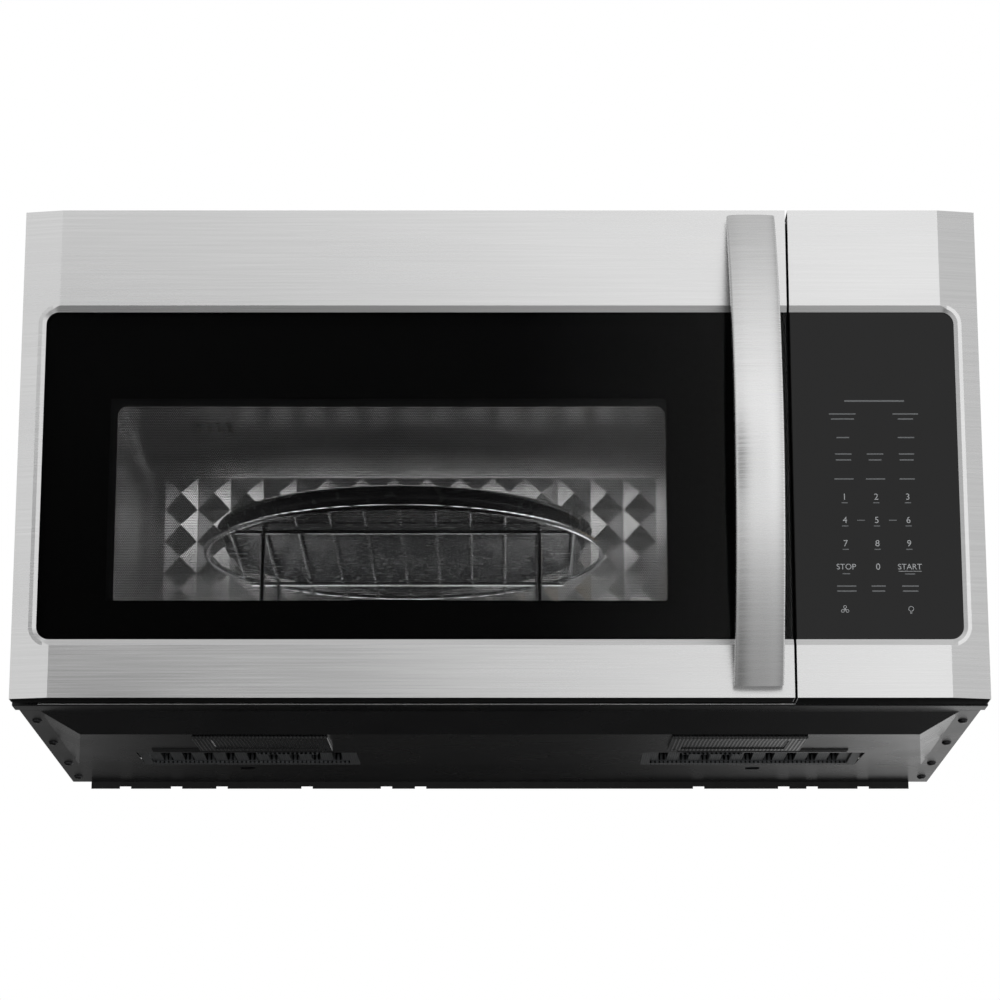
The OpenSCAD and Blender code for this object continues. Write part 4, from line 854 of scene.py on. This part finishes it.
def handle_bar():
    """Bowed bar: a section with round edges and a crowned front, spun round the bow, cut at the face."""
    low, high = box_mm("handle")
    mid_x, mid_z = (low.x + high.x) / 2, (low.z + high.z) / 2
    width, length = high.x - low.x, high.z - low.z
    radius = (HANDLE_BOW ** 2 + length ** 2 / 4) / (2 * HANDLE_BOW)
    sweep = math.asin(length / 2 / radius)
    centre = Vector((mid_x, low.y + radius, mid_z))
    bm = bmesh.new()
    section = bmesh.ops.create_grid(bm, x_segments=1, y_segments=1, size=0.5,
                                    matrix=Matrix.Diagonal((width, HANDLE_T, 1, 1)))["verts"]
    bmesh.ops.bevel(bm, geom=section, offset=HANDLE_EDGE, segments=4, profile=0.5, affect="VERTICES",
                    material=-1)
    front = [e for e in bm.edges if all(v.co.y < NEAR - HANDLE_T / 2 for v in e.verts)]
    bmesh.ops.subdivide_edges(bm, edges=front, cuts=15)
    for v in bm.verts:
        if v.co.y < 0:
            v.co.y += HANDLE_CROWN * abs(2 * v.co.x / width) ** CROWN_POWER
    bmesh.ops.delete(bm, geom=bm.faces[:], context="FACES_ONLY")
    # The section lies across the bar's lower end, its front towards the room.
    tilt = Matrix.Rotation(sweep, 4, "X")
    start = Matrix.Translation(centre) @ tilt @ Matrix.Translation((0, -radius + HANDLE_T / 2, 0))
    bmesh.ops.transform(bm, matrix=start, verts=bm.verts)
    bmesh.ops.spin(bm, geom=bm.verts[:] + bm.edges[:], cent=centre, axis=(1, 0, 0), angle=-2 * sweep,
                   steps=56, use_merge=False, use_duplicate=False)
    bmesh.ops.remove_doubles(bm, verts=bm.verts, dist=WELD)
    bmesh.ops.holes_fill(bm, edges=bm.edges)
    cut = bmesh.ops.bisect_plane(bm, geom=bm.verts[:] + bm.edges[:] + bm.faces[:],
                                 plane_co=(0, FACE_Y, 0), plane_no=(0, 1, 0), clear_outer=True)
    bmesh.ops.holes_fill(bm, edges=[g for g in cut["geom_cut"] if isinstance(g, bmesh.types.BMEdge)])
    bmesh.ops.recalc_face_normals(bm, faces=bm.faces)
    made = piece(bm, "handle_bar", "door", "stainless", finish=HANDLE_STEEL, replaces=("handle",))
    return even_normals(made)


# Inside the oven

def wire_rack():
    """Chromed ring, eleven bars, two cross bars and four legs bent to feet."""
    low, high = box_mm("rack")
    hub = (low + high) / 2
    wire_r, foot_half = 2.5, 8
    bar_r, cross_r, leg_r = wire_r * 0.7, wire_r * 0.8, wire_r * 0.9
    reach = (high.x - low.x) / 2 - wire_r
    top = high.z - wire_r
    foot = low.z + wire_r
    pitch, cross_y, leg_x = 28, 96, 112
    bm = bmesh.new()
    bmesh.ops.create_circle(bm, segments=16, radius=wire_r, matrix=upright(hub.x + reach, hub.y, top))
    bmesh.ops.spin(bm, geom=bm.verts[:] + bm.edges[:], cent=(hub.x, hub.y, top), axis=UP,
                   angle=2 * math.pi, steps=120, use_merge=True, use_duplicate=False)
    bmesh.ops.recalc_face_normals(bm, faces=bm.faces)
    for i in range(-5, 6):
        half = math.sqrt(reach ** 2 - (i * pitch) ** 2)
        x = hub.x + i * pitch
        rod(bm, (x, hub.y - half, top), (x, hub.y + half, top), bar_r)
    for side in (-1, 1):
        half = math.sqrt(reach ** 2 - cross_y ** 2)
        y, z = hub.y + side * cross_y, top - wire_r * 1.3
        rod(bm, (hub.x - half, y, z), (hub.x + half, y, z), cross_r)
        for across in (-1, 1):
            x = hub.x + across * leg_x
            wire(bm, [(x, y, top - 1), (x, y, foot + 3), (x, y, foot)], leg_r)
            rod(bm, (x, y - foot_half, foot), (x, y + foot_half, foot), wire_r)
    return piece(bm, "wire_rack", "rack", "chrome_wire", replaces=("rack",))


def round_tray():
    """Dark enamelled tray with a rolled rim."""
    low, high = box_mm("crisper_tray")
    hub = (low + high) / 2
    r = (high.x - low.x) / 2
    sheet = 1.6
    floor_z = low.z + sheet
    bm = bmesh.new()
    below = [(0, low.z), (r - 9, low.z), (r - 7.4, low.z + 1), (r - 2.2, high.z - 2.6)]
    rim = [(r - 0.8, high.z - 2.2), (r, high.z - 1.1), (r - 0.6, high.z - 0.2), (r - 1.6, high.z)]
    inside = [(r - 3.4, high.z - 0.8), (r - 8.6, floor_z + 0.8), (r - 10.4, floor_z), (0, floor_z)]
    turned(bm, below + rim + inside, hub.x, hub.y, 96)
    return piece(bm, "round_tray", "tray", "dark_enamel", replaces=("crisper_tray",), sharp=50)


def liner():
    """The oven's liner and back wall: round corners smooth, the pyramids' folds sharp."""
    eased("cavity", 0)
    eased("cavity_back_wall", 0, fold=9)


# Underside

SCREW_YS = (-300, -200, -100, -30)
SCREW_R, SCREW_HEAD_R, SCREW_HEAD_H = 1.5, 4, 2.2
SCREW_DOME = ((0, 1), (0.55, 0.92), (0.88, 0.55), (1, 0.1), (1, 0))  # shares of its radius and height


def pan_rim_screws():
    """Eight screws along the sides of the pan, their domed heads below the sheet."""
    high = box_mm("pan_screws")[1]
    dome = [(SCREW_HEAD_R * r, -SCREW_HEAD_H * h) for r, h in SCREW_DOME]
    bm = bmesh.new()
    for side in (-1, 1):
        for y in SCREW_YS:
            x = side * (high.x - SCREW_HEAD_R)
            turned(bm, dome, x, y, 20)
            rod(bm, (x, y, 0), (x, y, high.z), SCREW_R)
    return piece(bm, "pan_rim_screws", "case", "motor_steel", finish=SCREW_STEEL, replaces=("pan_screws",))


# Studio

FRAME_PX, LENS_PX = 1000, 3356  # the picture's width and the focal length, in pixels
SENSOR = 36  # its width in millimetres
TILT = 14.18  # degrees that the camera looks up
CAMERA_MM = (0, -2930, -483.8)
FLOOR_Z, FLOOR_REACH = -1.15, 40  # metres
FLOOR_GLOW = 0.4
FILL_LEVEL, MIRRORED_LEVEL = 0.5, 1.37
LAMPS_ASIDE = 0.035  # metres that the oven's lamps sit right of its middle
WHITE = (1, 1, 1, 1)

# What shiny surfaces mirror: stops of (direction, level) along x, y or z, directions from -1 to 1
GAP_X = ((-0.38, 0.0), (-0.22, 0.96), (-0.05, 0.96), (0.06, 0.0))
GAP_Z = ((-0.7, 0.75), (-0.25, 0.5), (-0.02, 0.35), (0.05, 1.0), (0.22, 1.0), (0.32, 0.14))
FRONT_X = ((-0.75, 0.36), (-0.48, 0.7), (-0.34, 0.88), (0.2, 1.0), (0.36, 0.56), (0.54, 0.48),
           (0.7, 0.82), (1.0, 0.8))
FRONT_Z = ((-0.75, 0.34), (-0.52, 0.38), (-0.3, 0.54), (-0.08, 0.86), (0.12, 0.9), (0.3, 0.9),
           (0.45, 0.83), (0.6, 0.74), (0.75, 0.66), (0.86, 0.57), (0.97, 0.45))
BACK_X = ((-0.3, 0.16), (-0.14, 0.26), (-0.11, 0.08), (-0.08, 0.021), (0.03, 0.021), (0.06, 0.1),
          (0.1, 0.36), (0.14, 1.0))
BACK_LOW_Z = ((-0.8, 0.08), (-0.3, 0.42), (-0.14, 0.62), (0.0, 0.9), (0.2, 0.0))
BACK_HIGH_Z = ((-0.86, 0.07), (-0.7, 0.0), (0.0, 0.0), (0.2, 0.4))
AHEAD_Y = ((-0.2, 1.0), (0.3, 0.0))


def camera():
    """The photograph's view: below the middle of the front, looking slightly up."""
    data = bpy.data.cameras.new("camera")
    data.sensor_width = SENSOR
    data.lens = LENS_PX / FRAME_PX * SENSOR
    made = bpy.data.objects.new("camera", data)
    made.location = Vector(CAMERA_MM) * MM
    made.rotation_euler = (math.radians(90 + TILT), 0, 0)
    bpy.context.scene.collection.objects.link(made)
    bpy.context.scene.camera = made


def floor():
    """Plain pale floor far below the oven: bright where it is looked at, not there when seen from below."""
    made, tree, shader = begin("pale_floor", Roughness=0.8, Emission_Color=WHITE)
    cloud = noise(tree, 400, detail=1.0)
    feed(tree, shader, Base_Color=two_tone(tree, cloud, "#ececeb", "#efefee"))
    looked_at = add(tree, "LightPath").outputs["Is Camera Ray"]
    feed(tree, shader, Emission_Strength=maths(tree, "MULTIPLY", looked_at, FLOOR_GLOW))
    below = add(tree, "NewGeometry").outputs["Backfacing"]
    away = add(tree, "BsdfTransparent")
    shown = add(tree, "MixShader", {0: below, 1: shader.outputs[0], 2: away.outputs[0]})
    tree.links.new(shown.outputs[0], tree.nodes["Material Output"].inputs["Surface"])
    bm = bmesh.new()
    bmesh.ops.create_circle(bm, cap_ends=True, segments=96, radius=FLOOR_REACH,
                            matrix=Matrix.Translation((0, 0, FLOOR_Z)))
    mesh = bpy.data.meshes.new("floor")
    bm.to_mesh(mesh)
    bm.free()
    mesh.materials.append(made)
    plane = bpy.data.objects.new("floor", mesh)
    plane.visible_glossy = False  # the underside then mirrors the dim room instead
    bpy.context.scene.collection.objects.link(plane)


def softbox(name, place, aim, size, power):
    """One soft light, in metres and watts, which lights plain surfaces and isn't mirrored."""
    data = bpy.data.lights.new(name, "AREA")
    data.shape = "RECTANGLE"
    data.size, data.size_y = size
    data.energy = power
    made = bpy.data.objects.new(name, data)
    made.location = place
    made.rotation_euler = (Vector(aim) - Vector(place)).to_track_quat("-Z", "Y").to_euler()
    made.visible_glossy = False
    bpy.context.scene.collection.objects.link(made)
    return made


def graded(tree, value, stops):
    """A level that follows stops of (place, level) along a value from -1 to 1."""
    low, high = -1, 1
    span = add(tree, "MapRange", {"Value": value, "From Min": low, "From Max": high})
    ramp = add(tree, "ValToRGB", {"Fac": span.outputs[0]})
    elements = ramp.color_ramp.elements
    while len(elements) < len(stops):
        elements.new(0.5)
    for element, (place, level) in zip(elements, stops):
        element.position = (place - low) / (high - low)
        element.color = (level, level, level, 1)
    return ramp.outputs["Color"]


def world():
    """White where it is seen or looked through, an even fill on plain surfaces, a room in shiny ones.

    The mirrored room is brightest in front and right of the middle. It has a dark gap left of the middle,
    dims to both sides and towards the floor, and is dark behind the oven apart from the right end.
    """
    made = bpy.data.worlds.new("studio")
    bpy.context.scene.world = made
    made.use_nodes = True
    tree = made.node_tree
    fill = tree.nodes["Background"]
    fill.inputs["Color"].default_value = WHITE
    fill.inputs["Strength"].default_value = FILL_LEVEL
    white = add(tree, "Background", {"Color": WHITE, "Strength": 1.0})
    x, y, z = add(tree, "SeparateXYZ", {"Vector": add(tree, "TexCoord").outputs["Generated"]}).outputs
    dark = maths(tree, "MULTIPLY", graded(tree, x, GAP_X), graded(tree, z, GAP_Z))
    across = maths(tree, "MULTIPLY", maths(tree, "SUBTRACT", 1.0, dark), graded(tree, x, FRONT_X))
    front = maths(tree, "MULTIPLY", across, graded(tree, z, FRONT_Z))
    low_back = maths(tree, "MULTIPLY", graded(tree, z, BACK_LOW_Z), graded(tree, x, BACK_X))
    back = maths(tree, "ADD", low_back, graded(tree, z, BACK_HIGH_Z))
    level = add(tree, "Mix", {"Factor": graded(tree, y, AHEAD_Y), "A": back, "B": front})
    bright = maths(tree, "MULTIPLY", level.outputs[0], MIRRORED_LEVEL)
    room = add(tree, "Background", {"Color": WHITE, "Strength": bright})
    path = add(tree, "LightPath")
    mirrored = add(tree, "MixShader", {0: path.outputs["Is Glossy Ray"], 1: fill.outputs[0],
                                       2: room.outputs[0]})
    seen = maths(tree, "MAXIMUM", path.outputs["Is Camera Ray"], path.outputs["Is Transmission Ray"])
    shown = add(tree, "MixShader", {0: seen, 1: mirrored.outputs[0], 2: white.outputs[0]})
    tree.links.new(shown.outputs[0], tree.nodes["World Output"].inputs["Surface"])


def studio():
    """Surroundings, two soft lights from above and the side, and the two lamps inside the oven."""
    world()
    floor()
    oven = (0, -0.2, 0.2)
    softbox("key", place=(0.3, -1.7, 2.4), aim=oven, size=(1.8, 1.2), power=30)
    softbox("side", place=(-2.2, -1.6, 1.2), aim=oven, size=(1.4, 1.4), power=12)
    middle = sum(OVEN_X) / 2 * MM + LAMPS_ASIDE
    lamp = softbox("oven_lamp", place=(middle, -0.23, 0.3), aim=(middle, -0.22, 0.06),
                   size=(0.44, 0.22), power=1.5)
    bounce = softbox("oven_bounce", place=(middle, -0.14, 0.066), aim=(middle, -0.141, 0.3),
                     size=(0.44, 0.2), power=1.3)
    for panel in (lamp, bounce):
        panel.visible_glossy = True
        panel.visible_camera = False
    bpy.context.scene.view_settings.view_transform = "Standard"


# Build

dress_frame()
for sheet_node in ("door_skin", "control_frame"):
    eased(sheet_node, 0)
eased("door_glass", 0.5, finish=DOOR_PANE)
eased("control_glass", 0.5)
eased("base_pan", 0)
eased("front_frame", 0.6)
eased("outer_case", 0)
for cover in ("lamp_cover_left", "lamp_cover_right"):
    eased(cover, 0.6)
door_print()
# Strips of painted shade under the door's and the panel's face
bottom_shade_strip("door_bottom_shade_strip", "door", SKIN_LOW, SKIN_HIGH, True, False)
bottom_shade_strip("control_bottom_shade_strip", "case", PANEL_LOW, PANEL_HIGH, False, True)
frame_bright_edge()
control_marks()
control_words()
handle_bar()
wire_rack()
round_tray()
liner()
pan_rim_screws()
camera()
studio()
